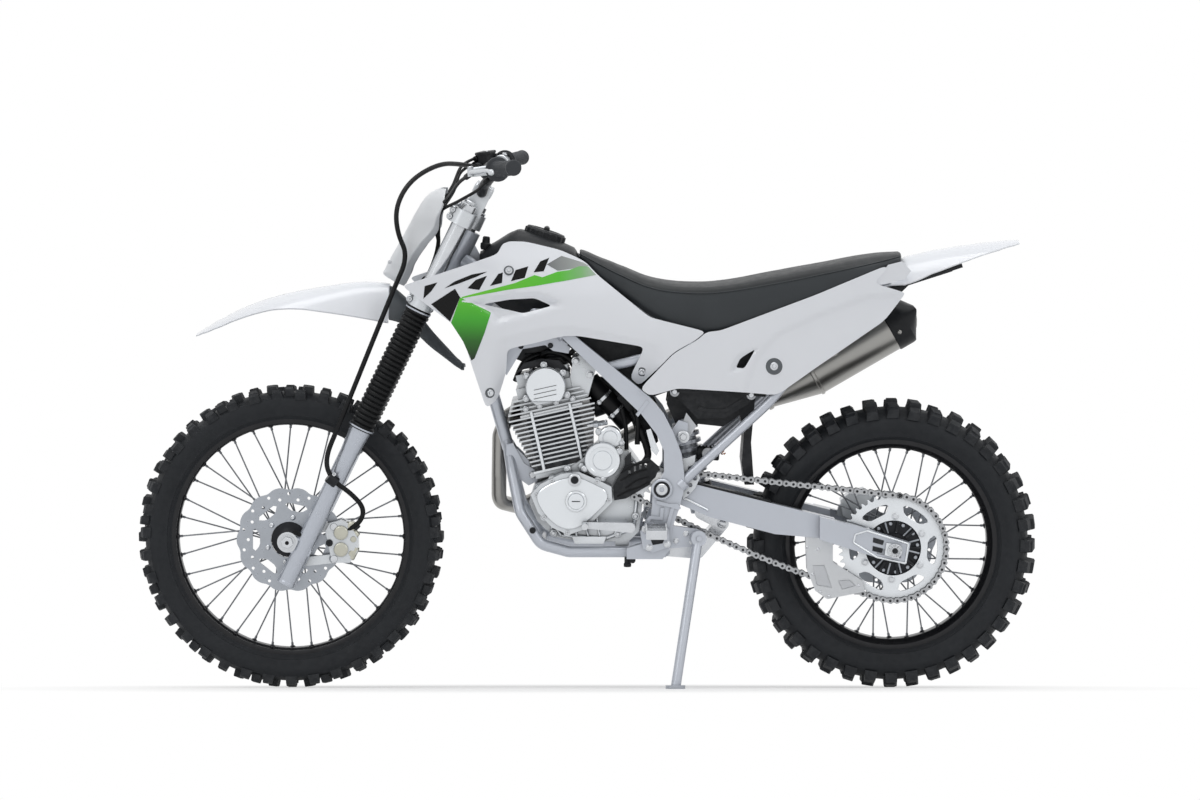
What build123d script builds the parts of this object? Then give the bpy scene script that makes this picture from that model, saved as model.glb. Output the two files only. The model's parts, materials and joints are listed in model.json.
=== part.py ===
"""A small off-road motorcycle, standing on its side stand, as separate named pieces.

Every piece is drawn in the upright frame of the motorcycle: -X is forward, -Y is the left side, +Z is up, the
ground is at z = 0 and x = 0 is halfway between the axles. The finished pieces are then leaned to the left, onto
the side stand, and moved so that the origin is under the middle of the whole machine, on the ground.
Sizes are in millimetres and angles in degrees.
"""

import math
import os

from build123d import *

# ---------------------------------------------------------------- driving dimensions
LEAN = 9.0  # how far the parked machine leans to the left
WHEELBASE = 1355.0
RAKE = 26.0  # steering axis from the vertical
STEERING_LOCK = 43.0  # each way

FRONT_TYRE_R = 345.0  # to the tips of the lugs
FRONT_TYRE_W = 90.0  # over the shoulder lugs
FRONT_RIM_R = FRONT_TYRE_R - 74.0  # over the flanges
FRONT_RIM_INNER_R = FRONT_RIM_R - 17.0
FRONT_RIM_W = 50.0
FRONT_LUG_H = 15.0
FRONT_FLATS = 26  # sides of the tyre's ring; each carries one row of middle lugs and one of shoulder lugs
REAR_TYRE_R = 329.0
REAR_TYRE_W = 112.0
REAR_RIM_R = REAR_TYRE_R - 89.0
REAR_RIM_INNER_R = REAR_RIM_R - 23.0
REAR_RIM_W = 64.0
REAR_LUG_H = 18.0
REAR_FLATS = 20
TREAD_CROWN_R = 75.0  # radius of both treads, seen in section
LUG_SHARE = 0.26  # how much of the way round a row of middle lugs takes
SPOKES = 36
SPOKE_R = 1.9

LEG_Y = 95.0  # fork leg from the middle plane
FORK_OFFSET = 22.0  # fork legs ahead of the steering axis
AXLE_LEAD = 36.8  # front axle ahead of the fork legs
FORK_TUBE_R = 18.5
STEM_R = 15.0
SHAFT_GAP = 0.05  # a turning fit, on the radius
RUNNING_GAP = 0.5  # faces that turn past each other on an axle
FRONT_AXLE_R = 8.5
REAR_AXLE_R = 10.0
AXLE_BORE_R = 5.0  # hollow of the rear axle

CHAIN_Y = -82.0  # chain line
CHAIN_PITCH = 15.875
CHAIN_PLATE_H = 15.0
CHAIN_WAIST = 5.6  # half the height of its plates between the pins
CHAIN_SAG = 17.0  # of its lower run
CHAIN_W = 17.0
REAR_TEETH = 47
FRONT_TEETH = 13

BAR_R = 11.1
GRIP_R = 16.0
PIVOT_Z = 466.0  # swingarm pivot
PIVOT_X = 158.0
CRADLE_TUBE_R = 12.5
CRADLE_Z = 321.0  # middle of the lower frame rails
CRADLE_Y = 88.0

FRONT_AXLE = Vector(-WHEELBASE / 2, 0, FRONT_TYRE_R)
REAR_AXLE = Vector(WHEELBASE / 2, 0, REAR_TYRE_R)
COUNTERSHAFT = Vector(105, 0, 478)

os.makedirs("parts", exist_ok=True)

bodies = {"chassis": {}, "steering": {}, "front_wheel": {}, "rear_wheel": {}, "side_stand": {}}


# ---------------------------------------------------------------- small tools
def side_face(points):
    """A face in the middle plane from (x, z) points joined by straight lines."""
    wire = Polyline(*[(x, 0, z) for x, z in points], close=True)
    return make_face(wire)


def slab(points, y_low, y_high):
    """A plate with the side outline given, from y_low to y_high."""
    face = Pos(0, y_low, 0) * side_face(points)
    return extrude(face, amount=y_high - y_low, dir=(0, 1, 0))


def about(centre, offsets):
    """The (x, z) points at the given offsets from a centre."""
    return [(centre.X + dx, centre.Z + dz) for dx, dz in offsets]


def rod(a, b, r):
    """A round bar from point a to point b."""
    a, b = Vector(*a), Vector(*b)
    return Plane(origin=a, z_dir=b - a) * Cylinder(
        r, (b - a).length, align=(Align.CENTER, Align.CENTER, Align.MIN)
    )


def cross(x, z, r, y_low, y_high):
    """A round bar across the machine, from y_low to y_high."""
    return rod((x, y_low, z), (x, y_high, z), r)


def tube(points, r, bend=None, wall=None):
    """A round tube along straight runs joined by arcs; with a wall it is hollow."""
    path = Polyline(*points) if bend is None else FilletPolyline(*points, radius=bend)
    plane = Plane(origin=path @ 0, z_dir=path % 0)
    section = plane * Circle(r)
    if wall:
        section -= plane * Circle(r - wall)
    return sweep(section, path=path)


def turned(profile, centre):
    """A solid of revolution about a wheel's axle; profile is (y, r) points."""
    face = make_face(Polyline(*[(0, y, r) for y, r in profile], close=True))
    return Pos(centre.X, 0, centre.Z) * revolve(face, axis=Axis.Y)


def hull_plate(circles, y_low, y_high):
    """A plate round (x, z, r) circles, joined in order by their common tangents."""
    plate = None
    for a, b in zip(circles, circles[1:]):
        link = link_plate(a, b, y_low, y_high)
        plate = link if plate is None else plate + link
    return plate


def link_plate(a, b, y_low, y_high):
    """A plate round two (x, z, r) circles."""
    (ax, az, ar), (bx, bz, br) = a, b
    d = math.hypot(bx - ax, bz - az)
    heading = math.atan2(bz - az, bx - ax)
    spread = math.acos(max(-1, min(1, (ar - br) / d)))
    corners = []
    for cx, cz, r, side in ((ax, az, ar, 1), (bx, bz, br, 1), (bx, bz, br, -1), (ax, az, ar, -1)):
        t = heading + side * spread
        corners.append((cx + r * math.cos(t), cz + r * math.sin(t)))
    body = slab(corners, y_low, y_high)
    for cx, cz, r in (a, b):
        body += cross(cx, cz, r, y_low, y_high)
    return body


def ruled(sections):
    """A solid with straight sides between cross-sections, each an x and its (y, z) corners."""
    faces = [make_face(Polyline(*[(x, y, z) for y, z in corners], close=True)) for x, corners in sections]
    return loft(faces, ruled=True)


def mirrored(corners):
    """The (y, z) corners of the right side, from the bottom up, with their mirror images after them."""
    return corners + [(-y, z) for y, z in reversed(corners)]


def smooth(stations, x):
    """A row of numbers at x on smooth curves through the stations, each (x, number, ...)."""
    i = 1
    while i < len(stations) - 1 and stations[i][0] < x:
        i += 1
    before, a, b, after = stations[max(i - 2, 0)], stations[i - 1], stations[i], stations[min(i + 1, len(stations) - 1)]
    t = min(max((x - a[0]) / (b[0] - a[0]), 0), 1)
    row = []
    for p, q, r, s in zip(before[1:], a[1:], b[1:], after[1:]):
        row.append(q + 0.5 * t * (r - p + t * (2 * p - 5 * q + 4 * r - s + t * (3 * (q - r) + s - p))))
    return row


def channel(stations, thickness, steps):
    """A skin like an upturned gutter; its stations are (x, height, half width, drop of the edges)."""
    first, last = stations[0][0], stations[-1][0]
    across = [-1, -0.92, -0.75, -0.5, 0, 0.5, 0.75, 0.92, 1]
    sections = []
    for k in range(steps + 1):
        x = first + (last - first) * k / steps
        z, half, drop = smooth(stations, x)
        outer = [(u * half, z - drop * abs(u) ** 2.4) for u in across]
        inner = [(u * (half - thickness), z - thickness - drop * abs(u) ** 2.4) for u in reversed(across)]
        sections.append((x, outer + inner))
    return ruled(sections)


def keep(body, node, shape):
    """Files a shape under its body and node name."""
    bodies[body][node] = shape


# ---------------------------------------------------------------- steering frame
cos_r, sin_r = math.cos(math.radians(RAKE)), math.sin(math.radians(RAKE))
FORK_ORIGIN = FRONT_AXLE + Vector(cos_r, 0, -sin_r) * (FORK_OFFSET + AXLE_LEAD)
FORK = Plane(origin=FORK_ORIGIN, x_dir=(cos_r, 0, -sin_r), z_dir=(sin_r, 0, cos_r))
# along the steering axis, from the foot of the front axle on it
SLIDER_FOOT = -87.0
SLIDER_TOP = 301.0
LOWER_CLAMP = (600.0, 638.0)
HEAD = (642.0, 800.0)
UPPER_CLAMP = (806.0, 840.0)
BOOT_TOP = 596.0


def fork_point(x, y, z):
    """A point given in the fork's own frame, in the machine's frame."""
    return FORK.from_local_coords(Vector(x, y, z))


def fork_bar(x, y, z_low, z_high, r):
    """A round bar parallel to the steering axis."""
    return FORK * Pos(x, y, z_low) * Cylinder(r, z_high - z_low, align=(Align.CENTER, Align.CENTER, Align.MIN))


def fork_cone(x, y, z_low, z_high, r_low, r_high):
    return FORK * Pos(x, y, z_low) * Cone(r_low, r_high, z_high - z_low, align=(Align.CENTER, Align.CENTER, Align.MIN))


# ---------------------------------------------------------------- wheels
def crown_drop(y):
    """How far the tread falls below its highest line, y from the middle."""
    return TREAD_CROWN_R - math.sqrt(TREAD_CROWN_R**2 - y**2)


def wheel_point(centre, turn, y, r):
    """A point at a radius from a wheel's axle; turn is in degrees, from straight down."""
    t = math.radians(turn - 90)
    return Vector(centre.X + r * math.cos(t), y, centre.Z + r * math.sin(t))


def flat_ring(centre, profile, flats):
    """A ring with flat sides about a wheel's axle; profile is (y, r) points."""
    step = 360 / flats
    faces = []
    for k in range(flats):
        near, far = (k - 0.5) * step, (k + 0.5) * step
        for (y1, r1), (y2, r2) in zip(profile, profile[1:] + profile[:1]):
            corners = [wheel_point(centre, near, y1, r1), wheel_point(centre, near, y2, r2),
                       wheel_point(centre, far, y2, r2), wheel_point(centre, far, y1, r1)]
            faces.append(make_face(Polyline(*corners, close=True)))
    return Solid(Shell(faces))


def lug(centre, turn, section, length):
    """A block of the tread, as long as it runs round the wheel; section is its (y, r) corners."""
    t = math.radians(turn - 90)
    run = Vector(-math.sin(t), 0, math.cos(t))
    corners = [wheel_point(centre, turn, y, r) - run * (length / 2) for y, r in section]
    return extrude(make_face(Polyline(*corners, close=True)), amount=length, dir=tuple(run))


def tyre(centre, tip_r, width, rim_r, lug_h, flats):
    """A tyre with rows of middle lugs and of shoulder lugs in turn, on a ring with flat sides."""
    half = width / 2
    contact_y = TREAD_CROWN_R * math.sin(math.radians(LEAN))
    base = tip_r - lug_h
    shoulder = base - crown_drop(half * 0.9)
    profile = [
        (-half * 0.5, rim_r - 8),
        (-half * 0.62, rim_r + 2),
        (-half * 0.88, rim_r + (tip_r - rim_r) * 0.42),
        (-half * 0.9, shoulder),
        (-half * 0.5, base - crown_drop(half * 0.5)),
    ]
    profile += [(-y, r) for y, r in reversed(profile)]
    ring = flat_ring(centre, profile, flats)
    step = 360 / flats
    row = math.radians(step) * tip_r  # along the tips, from one row of middle lugs to the next
    foot, top = base - 9, tip_r - crown_drop(contact_y)
    middle = [(-contact_y - 6, foot), (-contact_y, top), (contact_y, top), (contact_y + 6, foot)]
    inner_y, outer_y = half * 0.5, half
    side_lug = [
        (inner_y, shoulder - 4), (inner_y, tip_r - crown_drop(inner_y)), (outer_y, tip_r - crown_drop(outer_y)),
        (half * 0.82, shoulder - 14),
    ]
    lugs = []
    for k in range(flats):
        lugs.append(lug(centre, k * step, middle, row * LUG_SHARE))
        for side in (-1, 1):
            lugs.append(lug(centre, (k + 0.5) * step, [(side * y, r) for y, r in side_lug], row * LUG_SHARE))
    return largest(ring + lugs)


def rim(centre, rim_r, inner_r, width, tyre_solid):
    """A drop-centre rim."""
    half = width / 2
    profile = [
        (-half, rim_r),
        (-half, rim_r - 12),
        (-half * 0.5, inner_r),
        (half * 0.5, inner_r),
        (half, rim_r - 12),
        (half, rim_r),
    ]
    return turned(profile, centre) - tyre_solid


def spokes(centre, flange_r, flange_y, rim_r, rim_y):
    """Crossed spokes from the hub's flanges to the rim, half of them on each side."""
    made = []
    each_side = SPOKES // 2
    for i in range(SPOKES):
        side = 1 if i % 2 else -1
        k = i // 2
        lead = 1 if k % 2 else -1
        hub_angle = math.radians(360 / each_side * (k + 0.25 * side))
        rim_angle = hub_angle + math.radians(lead * SPOKE_LEAD)
        y = side * (flange_y + SPOKE_R * lead)
        a = (centre.X + flange_r * math.cos(hub_angle), y, centre.Z + flange_r * math.sin(hub_angle))
        b = (centre.X + rim_r * math.cos(rim_angle), side * rim_y, centre.Z + rim_r * math.sin(rim_angle))
        made.append(rod(a, b, SPOKE_R))
    return made


SPOKE_LEAD = 50.0  # how far a spoke runs round the wheel between hub and rim
FRONT_HUB_HALF = 69.0
FRONT_DISC_Y = -62.0
DISC_T = 4.0
FRONT_DISC_R = 118.0
WAVE_DEPTH = 7.0  # of the discs' edges


def front_wheel():
    tread = tyre(FRONT_AXLE, FRONT_TYRE_R, FRONT_TYRE_W, FRONT_RIM_R, FRONT_LUG_H, FRONT_FLATS)
    keep("front_wheel", "front_tyre", tread)
    ring = rim(FRONT_AXLE, FRONT_RIM_R, FRONT_RIM_INNER_R, FRONT_RIM_W, tread)
    keep("front_wheel", "front_rim", ring)
    bore = FRONT_AXLE_R + SHAFT_GAP
    face = FRONT_DISC_Y + DISC_T / 2
    hub = turned(
        [
            (-FRONT_HUB_HALF, bore), (-FRONT_HUB_HALF, 14), (FRONT_DISC_Y - DISC_T / 2, 20), (face, 40), (-52, 40),
            (-40, 24), (-33, 22), (-33, 33), (-27, 33), (-24, 20), (24, 20), (27, 33), (33, 33), (33, 22), (40, 16),
            (FRONT_HUB_HALF, 14), (FRONT_HUB_HALF, bore),
        ],
        FRONT_AXLE,
    )
    for spoke in spokes(FRONT_AXLE, 29, 30, FRONT_RIM_INNER_R + 3, 8):
        hub += spoke - ring
    hub = largest(hub)
    keep("front_wheel", "front_hub", hub)
    disc = wave_disc(FRONT_AXLE, FRONT_DISC_R, 26, 14, FRONT_DISC_Y - DISC_T / 2, face)
    disc -= ring_windows(FRONT_AXLE, 52, 78, 7, 34, FRONT_DISC_Y - DISC_T, face + 1)
    keep("front_wheel", "front_disc", disc - hub)


def wave_disc(centre, r, hole_r, waves, y_low, y_high):
    """A brake disc with a wavy edge."""
    outline = []
    for k in range(waves * 6):
        t = 2 * math.pi * k / (waves * 6)
        reach = r - WAVE_DEPTH * (0.5 - 0.5 * math.cos(waves * t))
        outline.append((centre.X + reach * math.cos(t), centre.Z + reach * math.sin(t)))
    return slab(outline, y_low, y_high) - cross(centre.X, centre.Z, hole_r, y_low - 1, y_high + 1)


def ring_windows(centre, inner_r, outer_r, count, span, y_low, y_high):
    """Openings in a ring, each as many degrees long as its span."""
    cut = []
    for k in range(count):
        first = 360 / count * k
        turns = [math.radians(first + span * (i / 6 - 0.5)) for i in range(7)]
        corners = [(outer_r * math.cos(t), outer_r * math.sin(t)) for t in turns]
        corners += [(inner_r * math.cos(t), inner_r * math.sin(t)) for t in reversed(turns)]
        cut.append(slab(about(centre, corners), y_low, y_high))
    return cut


def largest(shape):
    """The biggest solid of a shape, without the chips that a cut leaves."""
    return max(shape.solids(), key=lambda solid: solid.volume)


REAR_HUB_HALF = 97.5
REAR_DISC_Y = 72.0
REAR_DISC_R = 110.0
REAR_SPROCKET_T = 5.0


def rear_wheel():
    tread = tyre(REAR_AXLE, REAR_TYRE_R, REAR_TYRE_W, REAR_RIM_R, REAR_LUG_H, REAR_FLATS)
    keep("rear_wheel", "rear_tyre", tread)
    ring = rim(REAR_AXLE, REAR_RIM_R, REAR_RIM_INNER_R, REAR_RIM_W, tread)
    keep("rear_wheel", "rear_rim", ring)
    bore = REAR_AXLE_R + SHAFT_GAP
    carrier = CHAIN_Y + REAR_SPROCKET_T / 2
    disc_low = REAR_DISC_Y - DISC_T / 2
    hub = turned(
        [
            (-REAR_HUB_HALF, bore), (-REAR_HUB_HALF, 18), (-86, 18), (-86, 34), (carrier, 34), (carrier, 66),
            (-73, 66), (-60, 40), (-36, 34), (-36, 46), (-29, 46), (-26, 28), (26, 28), (29, 46), (36, 46), (40, 34),
            (60, 34), (64, 46), (disc_low, 46), (disc_low, 30), (76, 20), (REAR_HUB_HALF, 18), (REAR_HUB_HALF, bore),
        ],
        REAR_AXLE,
    )
    for spoke in spokes(REAR_AXLE, 42, 32.5, REAR_RIM_INNER_R + 3, 10):
        hub += spoke - ring
    hub = largest(hub)
    keep("rear_wheel", "rear_hub", hub)
    sprocket_low = CHAIN_Y - REAR_SPROCKET_T / 2
    sprocket = turned(
        [(sprocket_low, 50), (sprocket_low, 110.9), (carrier, 110.9), (carrier, 50)],
        REAR_AXLE,
    )
    sprocket -= ring_windows(REAR_AXLE, 76, 98, 6, 40, sprocket_low - 1, carrier + 1)
    keep("rear_wheel", "rear_sprocket", sprocket)
    disc = wave_disc(REAR_AXLE, REAR_DISC_R, 34, 12, disc_low, disc_low + DISC_T)
    disc -= ring_windows(REAR_AXLE, 56, 76, 6, 36, disc_low - 1, disc_low + DISC_T + 1)
    keep("rear_wheel", "rear_disc", disc - hub)


# ---------------------------------------------------------------- fork, bars and front bodywork
BOOT_R = 28.0
BOOT_WAIST_R = 25.0
BOOT_RIBS = 26


def bellows(length):
    """A rubber boot standing on the origin, with ribs along it."""
    pitch = length / BOOT_RIBS
    profile = [(0, 0)]
    for k in range(BOOT_RIBS):
        profile += [(BOOT_WAIST_R, k * pitch), (BOOT_R, (k + 0.3) * pitch), (BOOT_R, (k + 0.7) * pitch)]
    profile += [(BOOT_WAIST_R, length), (0, length)]
    return revolve(make_face(Polyline(*[(r, 0, z) for r, z in profile], close=True)), axis=Axis.Z)


def fork():
    axle = cross(FRONT_AXLE.X, FRONT_AXLE.Z, FRONT_AXLE_R, -118, 118)
    keep("steering", "front_axle", axle)
    tubes, sliders, boots = [], [], []
    foot = fork_point(-FORK_OFFSET, 0, 0)
    for side in (-1, 1):
        y = side * LEG_Y
        inner = fork_bar(-FORK_OFFSET, y, SLIDER_TOP - 20, UPPER_CLAMP[1] + 12, FORK_TUBE_R)
        slider = fork_bar(-FORK_OFFSET, y, SLIDER_FOOT, 240, 21)
        slider += fork_cone(-FORK_OFFSET, y, 240, SLIDER_TOP, 21, 25)
        lug_in, lug_out = sorted((side * (FRONT_HUB_HALF + RUNNING_GAP), side * 108))
        slider += link_plate((FRONT_AXLE.X, FRONT_AXLE.Z, 17), (foot.X, foot.Z, 20), lug_in, lug_out)
        tubes.append(inner)
        sliders.append(slider - axle - inner)
        boots.append(FORK * Pos(-FORK_OFFSET, y, SLIDER_TOP) * bellows(BOOT_TOP - SLIDER_TOP) - inner)
    keep("steering", "fork_tubes", Compound(tubes))
    keep("steering", "fork_sliders", Compound([largest(part) for part in sliders]))
    keep("steering", "fork_boots", Compound([largest(part) for part in boots]))


BAR_SEAT = (-9.0, 0.0, 890.0)  # middle of the handlebar, in the fork's frame
GRIP_IN = FRONT_AXLE + Vector(476.5, -295, 837)
GRIP_OUT = FRONT_AXLE + Vector(514.5, -417, 844)
RISER_Y = 42.0
CLAMP_REACH = 5.0  # how far behind the steering axis the fork clamps' flat parts reach


def clamp_plate(z_low, z_high):
    """The outside of a fork clamp, with no holes."""
    plate = FORK * Pos(-37, 0, z_low) * Box(
        CLAMP_REACH + 37, 2 * LEG_Y, z_high - z_low, align=(Align.MIN, Align.CENTER, Align.MIN)
    )
    for side in (-1, 1):
        plate += fork_bar(-FORK_OFFSET, side * LEG_Y, z_low, z_high, 28)
    return plate


def clamps():
    tubes = bodies["steering"]["fork_tubes"]
    lower = clamp_plate(*LOWER_CLAMP) + fork_bar(0, 0, LOWER_CLAMP[1], UPPER_CLAMP[1] + 6, STEM_R)
    for side in (-1, 1):
        lower += fork_bar(-14, side * 26, LOWER_CLAMP[0] - 40, LOWER_CLAMP[0], 9)
    lower = lower - tubes - bodies["steering"]["front_fender"]
    keep("steering", "lower_clamp", largest(lower))
    upper = clamp_plate(*UPPER_CLAMP) + fork_bar(0, 0, *UPPER_CLAMP, STEM_R + 9)
    bar, root = fork_point(*BAR_SEAT), fork_point(BAR_SEAT[0], 0, UPPER_CLAMP[1] - 10)
    for side in (-1, 1):
        low, high = sorted((side * (RISER_Y - 14), side * (RISER_Y + 14)))
        upper += link_plate((bar.X, bar.Z, 20), (root.X, root.Z, 19), low, high)
    upper = upper - tubes - fork_bar(0, 0, UPPER_CLAMP[0] - 5, UPPER_CLAMP[1] + 20, STEM_R)
    upper -= rod((bar.X, -100, bar.Z), (bar.X, 100, bar.Z), BAR_R)
    keep("steering", "upper_clamp", largest(upper))


def mirror_point(p):
    return Vector(p.X, -p.Y, p.Z)


def handlebar():
    seat = fork_point(*BAR_SEAT)
    left = [GRIP_OUT, GRIP_IN, Vector(seat.X + 8, -110, seat.Z + 20), Vector(seat.X, -66, seat.Z)]
    route = left + [mirror_point(p) for p in reversed(left)]
    bar = tube([tuple(p) for p in route], BAR_R, bend=30)
    keep("steering", "handlebar", bar)
    grips = []
    for inner, outer in ((GRIP_IN, GRIP_OUT), (mirror_point(GRIP_IN), mirror_point(GRIP_OUT))):
        run = (outer - inner).normalized()
        grips.append(rod(inner, outer + run * 3, GRIP_R) + rod(inner, inner + run * 6, 26) - bar)
    keep("steering", "grips", Compound([largest(grip) for grip in grips]))
    along = (GRIP_OUT - GRIP_IN).normalized()
    at = GRIP_IN - along * 30
    perch = rod(at, at + along * 22, 19)
    root = at + along * 11 + Vector(-52, 0, -6)
    tip = root + along * 150 + Vector(4, 0, -4)
    lever = perch + rod(at + along * 11, root, 10) + rod(root, tip, 6.5)
    keep("steering", "clutch_lever", largest(lever - bar))
    keep("steering", "brake_lever", largest(mirror(lever, about=Plane.XZ) - bar))


BRAKE_HOSE_R = 5.5
BRAKE_HOSE = [  # from the front axle
    (415.5, 236, 826), (377.5, 150, 837), (332.5, 60, 839), (273.5, -20, 805), (243.5, -68, 749),
    (247.5, -92, 691), (271.5, -79, 637), (237.5, -90, 561), (117.5, -104, 265), (83.5, -112, 185),
    (103.5, -133, 141), (141.5, -126, 115), (174.5, -108, 75), (157.5, -92, 35), (127.5, -80, 23),
]


def bend_radii(points):
    """For each corner, an arc as large as its two runs allow."""
    points = [Vector(*p) for p in points]
    radii = []
    for before, at, after in zip(points, points[1:], points[2:]):
        turn = math.radians((at - before).get_angle(after - at))
        radii.append(0.45 * min((at - before).length, (after - at).length) / math.tan(turn / 2))
    return radii


def brake_hose():
    route = [tuple(FRONT_AXLE + Vector(*p)) for p in BRAKE_HOSE]
    radii = bend_radii(route)
    print("brake hose bends, mm:", [round(r) for r in radii])
    path = FilletPolyline(*route, radius=radii)
    section = Plane(origin=path @ 0, z_dir=path % 0) * Circle(BRAKE_HOSE_R)
    hose = sweep(section, path=path)
    print("brake hose length, mm:", round(path.length), "volume over section:", hose.volume / math.pi / BRAKE_HOSE_R**2)
    steering = bodies["steering"]
    keep("steering", "brake_hose", largest(hose - steering["front_caliper"] - steering["brake_lever"]))


def front_brake():
    """The caliper straddles the disc behind the left fork leg."""
    gap = 7.0
    near_disc, far_disc = FRONT_DISC_Y - gap, FRONT_DISC_Y + gap
    outline = about(FRONT_AXLE, [(83.5, 23), (93.5, 41), (117.5, 47), (137.5, 39), (155.5, 7), (155.5, -23), (137.5, -49), (97.5, -49)])
    bridge = about(FRONT_AXLE, [(127.5, 43), (137.5, 39), (155.5, 7), (155.5, -23), (137.5, -49), (131.5, -49)])
    caliper = slab(outline, -88, near_disc) + slab(outline, far_disc, -38) + slab(bridge, near_disc, far_disc)
    for dz in (-19, 19):
        caliper += cross(FRONT_AXLE.X + 118, FRONT_AXLE.Z + dz, 15, -91, -80)
    for inner, outer in (((55.5, 27), (102.5, 32)), ((37.5, -47), (102.5, -40))):
        (x1, z1), (x2, z2) = about(FRONT_AXLE, [inner, outer])
        caliper += link_plate((x1, z1, 10), (x2, z2, 10), -84, -76)
    caliper -= bodies["steering"]["fork_sliders"]
    reach = FRONT_DISC_R + 5
    wheel = turned(
        [(-90, 0), (-90, 20), (-66, 20), (near_disc, 60), (near_disc, reach), (far_disc, reach), (far_disc, 0)],
        FRONT_AXLE,
    )
    keep("steering", "front_caliper", largest(caliper - wheel))


# x and height from the front axle, half width, how far the edges hang down
FRONT_FENDER = [
    (-207.5, 461, 38, 6), (-167.5, 483, 55, 10), (-112.5, 509, 64, 18), (-22.5, 539, 72, 28), (77.5, 561, 74, 44),
    (157.5, 571, 70, 62), (225.5, 569, 60, 70), (277.5, 521, 50, 40), (332.5, 453, 52, 24), (385.5, 397, 48, 14),
]


def front_bodywork():
    outline = about(FRONT_AXLE, [(211.5, 593), (225.5, 627), (300.5, 760), (317.5, 776), (342.5, 785), (348.5, 775), (345.5, 751), (320.5, 697), (271.5, 633), (243.5, 575)])
    plate = slab(outline, -95, 95)
    inside = about(FRONT_AXLE, [(207.5, 580), (231.5, 625), (306.5, 757), (322.5, 771), (357.5, 779), (377.5, 655), (257.5, 555)])
    plate -= slab(inside, -91, 91)
    shield = [(-50, 555), (-52, 605), (-93, 725), (-93, 755), (-60, 795), (60, 795), (93, 755), (93, 725), (52, 605), (50, 555)]
    front_view = make_face(Polyline(*[FRONT_AXLE + Vector(77.5, y, z) for y, z in shield], close=True))
    plate &= extrude(front_view, amount=400, dir=(1, 0, 0))
    plate = largest(plate)
    for side in (-1, 1):
        clamp_face = fork_point(-38, side * 30, 823)
        plate += rod(clamp_face, FRONT_AXLE + Vector(295.5, side * 30, 739), 5)
    keep("steering", "number_plate", largest(plate - bodies["steering"]["upper_clamp"]))


# ---------------------------------------------------------------- frame
SPAR_Y = (98.0, 122.0)
SPAR_OUTLINE = [
    (-72, 812), (-40, 812), (131, 672), (163, 634), (184, 592), (202, 545), (208, 500), (206, 457), (196, 420),
    (182, 380), (176, 330), (160, 309), (80, 309), (80, 333), (118, 345), (134, 400), (138, 450), (150, 480),
    (163, 505), (163, 551), (146, 589), (112, 634),
]
SPAR_TUBE_R = 15.0
SUBFRAME_R = 11.0
RAIL_TOP = [(40, 96, 737), (250, 96, 790), (420, 96, 845), (500, 90, 875), (664, 78, 936)]
STAND_PIVOT = Vector(238, -132, 357)
PIVOT_SHAFT_R = 8.0


def spar_run(side):
    """The middle line of a spar from the steering head to its flat part."""
    head = fork_point(22, side * 24, 735)
    return [tuple(head), (-200, side * 62, 918), (-110, side * 96, 853), (-58, side * 110, 806)]


def down_tube():
    throat = fork_point(24, 0, 668)
    return tube([tuple(throat), (-222, 0, 672), (-186, 0, 545)], 14, bend=300)


def frame():
    gap = SHAFT_GAP
    cut = fork_bar(0, 0, HEAD[0] - 40, HEAD[1] + 40, STEM_R + gap)
    head = fork_bar(0, 0, *HEAD, 28)
    low, high = fork_point(20, 0, 668), fork_point(20, 0, 780)
    gusset = slab([(low.X, low.Z), (high.X, high.Z), (-205, 900), (-262, 790)], -6, 6)
    head = head + gusset - cut
    spars = {}
    shaft = cross(PIVOT_X, PIVOT_Z, PIVOT_SHAFT_R, -130, 130)
    for name, side in (("left", -1), ("right", 1)):
        low, high = sorted((side * SPAR_Y[0], side * SPAR_Y[1]))
        spar = slab(SPAR_OUTLINE, low, high) + tube(spar_run(side), SPAR_TUBE_R, bend=60)
        if side < 0:
            spar += slab([(176, 333), (236, 338), (256, 350), (256, 366), (236, 376), (182, 384)], low + 2, -106)
            spar += slab([(110, 372), (129, 396), (174, 378), (176, 338), (137, 325), (116, 334)], low - 10, low)
        low, high = sorted((side * SPAR_Y[1], side * (SPAR_Y[1] + 4)))
        spar += cross(PIVOT_X, PIVOT_Z, 20, low, high)
        spars[side] = largest(spar - head - shaft - cut)
        keep("chassis", f"frame_spar_{name}", spars[side])
    keep("chassis", "frame_head", head)
    cradle = down_tube() - head - spars[-1] - spars[1] - cut
    for side in (-1, 1):
        cradle += tube(
            [
                (-188, side * 4, 560), (-178, side * 40, 500), (-158, side * CRADLE_Y, 410),
                (-112, side * CRADLE_Y, 338), (-50, side * CRADLE_Y, CRADLE_Z), (168, side * CRADLE_Y, CRADLE_Z),
            ],
            CRADLE_TUBE_R,
            bend=38,
        )
        low, high = sorted((side * 24.2, side * 30))
        cradle += slab([(-186, 540), (-166, 546), (-140, 520), (-134, 494), (-150, 484), (-186, 500)], low, high)
    cradle += cross(-110, 337, 10, -CRADLE_Y, CRADLE_Y) + cross(70, CRADLE_Z, 11, -CRADLE_Y, CRADLE_Y)
    cradle += cross(166, CRADLE_Z, 11, -CRADLE_Y, CRADLE_Y)
    keep("chassis", "frame_cradle", largest(cradle - spars[-1] - spars[1]))
    rails = None
    for side in (-1, 1):
        rail = tube([(x, side * y, z) for x, y, z in RAIL_TOP], SUBFRAME_R, bend=200)
        rail += tube([(205, side * 110, 482), (401, side * 104, 662), (592, side * 84, 906)], SUBFRAME_R, bend=300)
        rails = rail if rails is None else rails + rail
    rails += cross(420, 838, 8, -96, 96) + cross(640, 926, 8, -78, 78)
    keep("chassis", "subframe", largest(rails - spars[-1] - spars[1]))


SPRING_TURNS = 11


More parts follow.
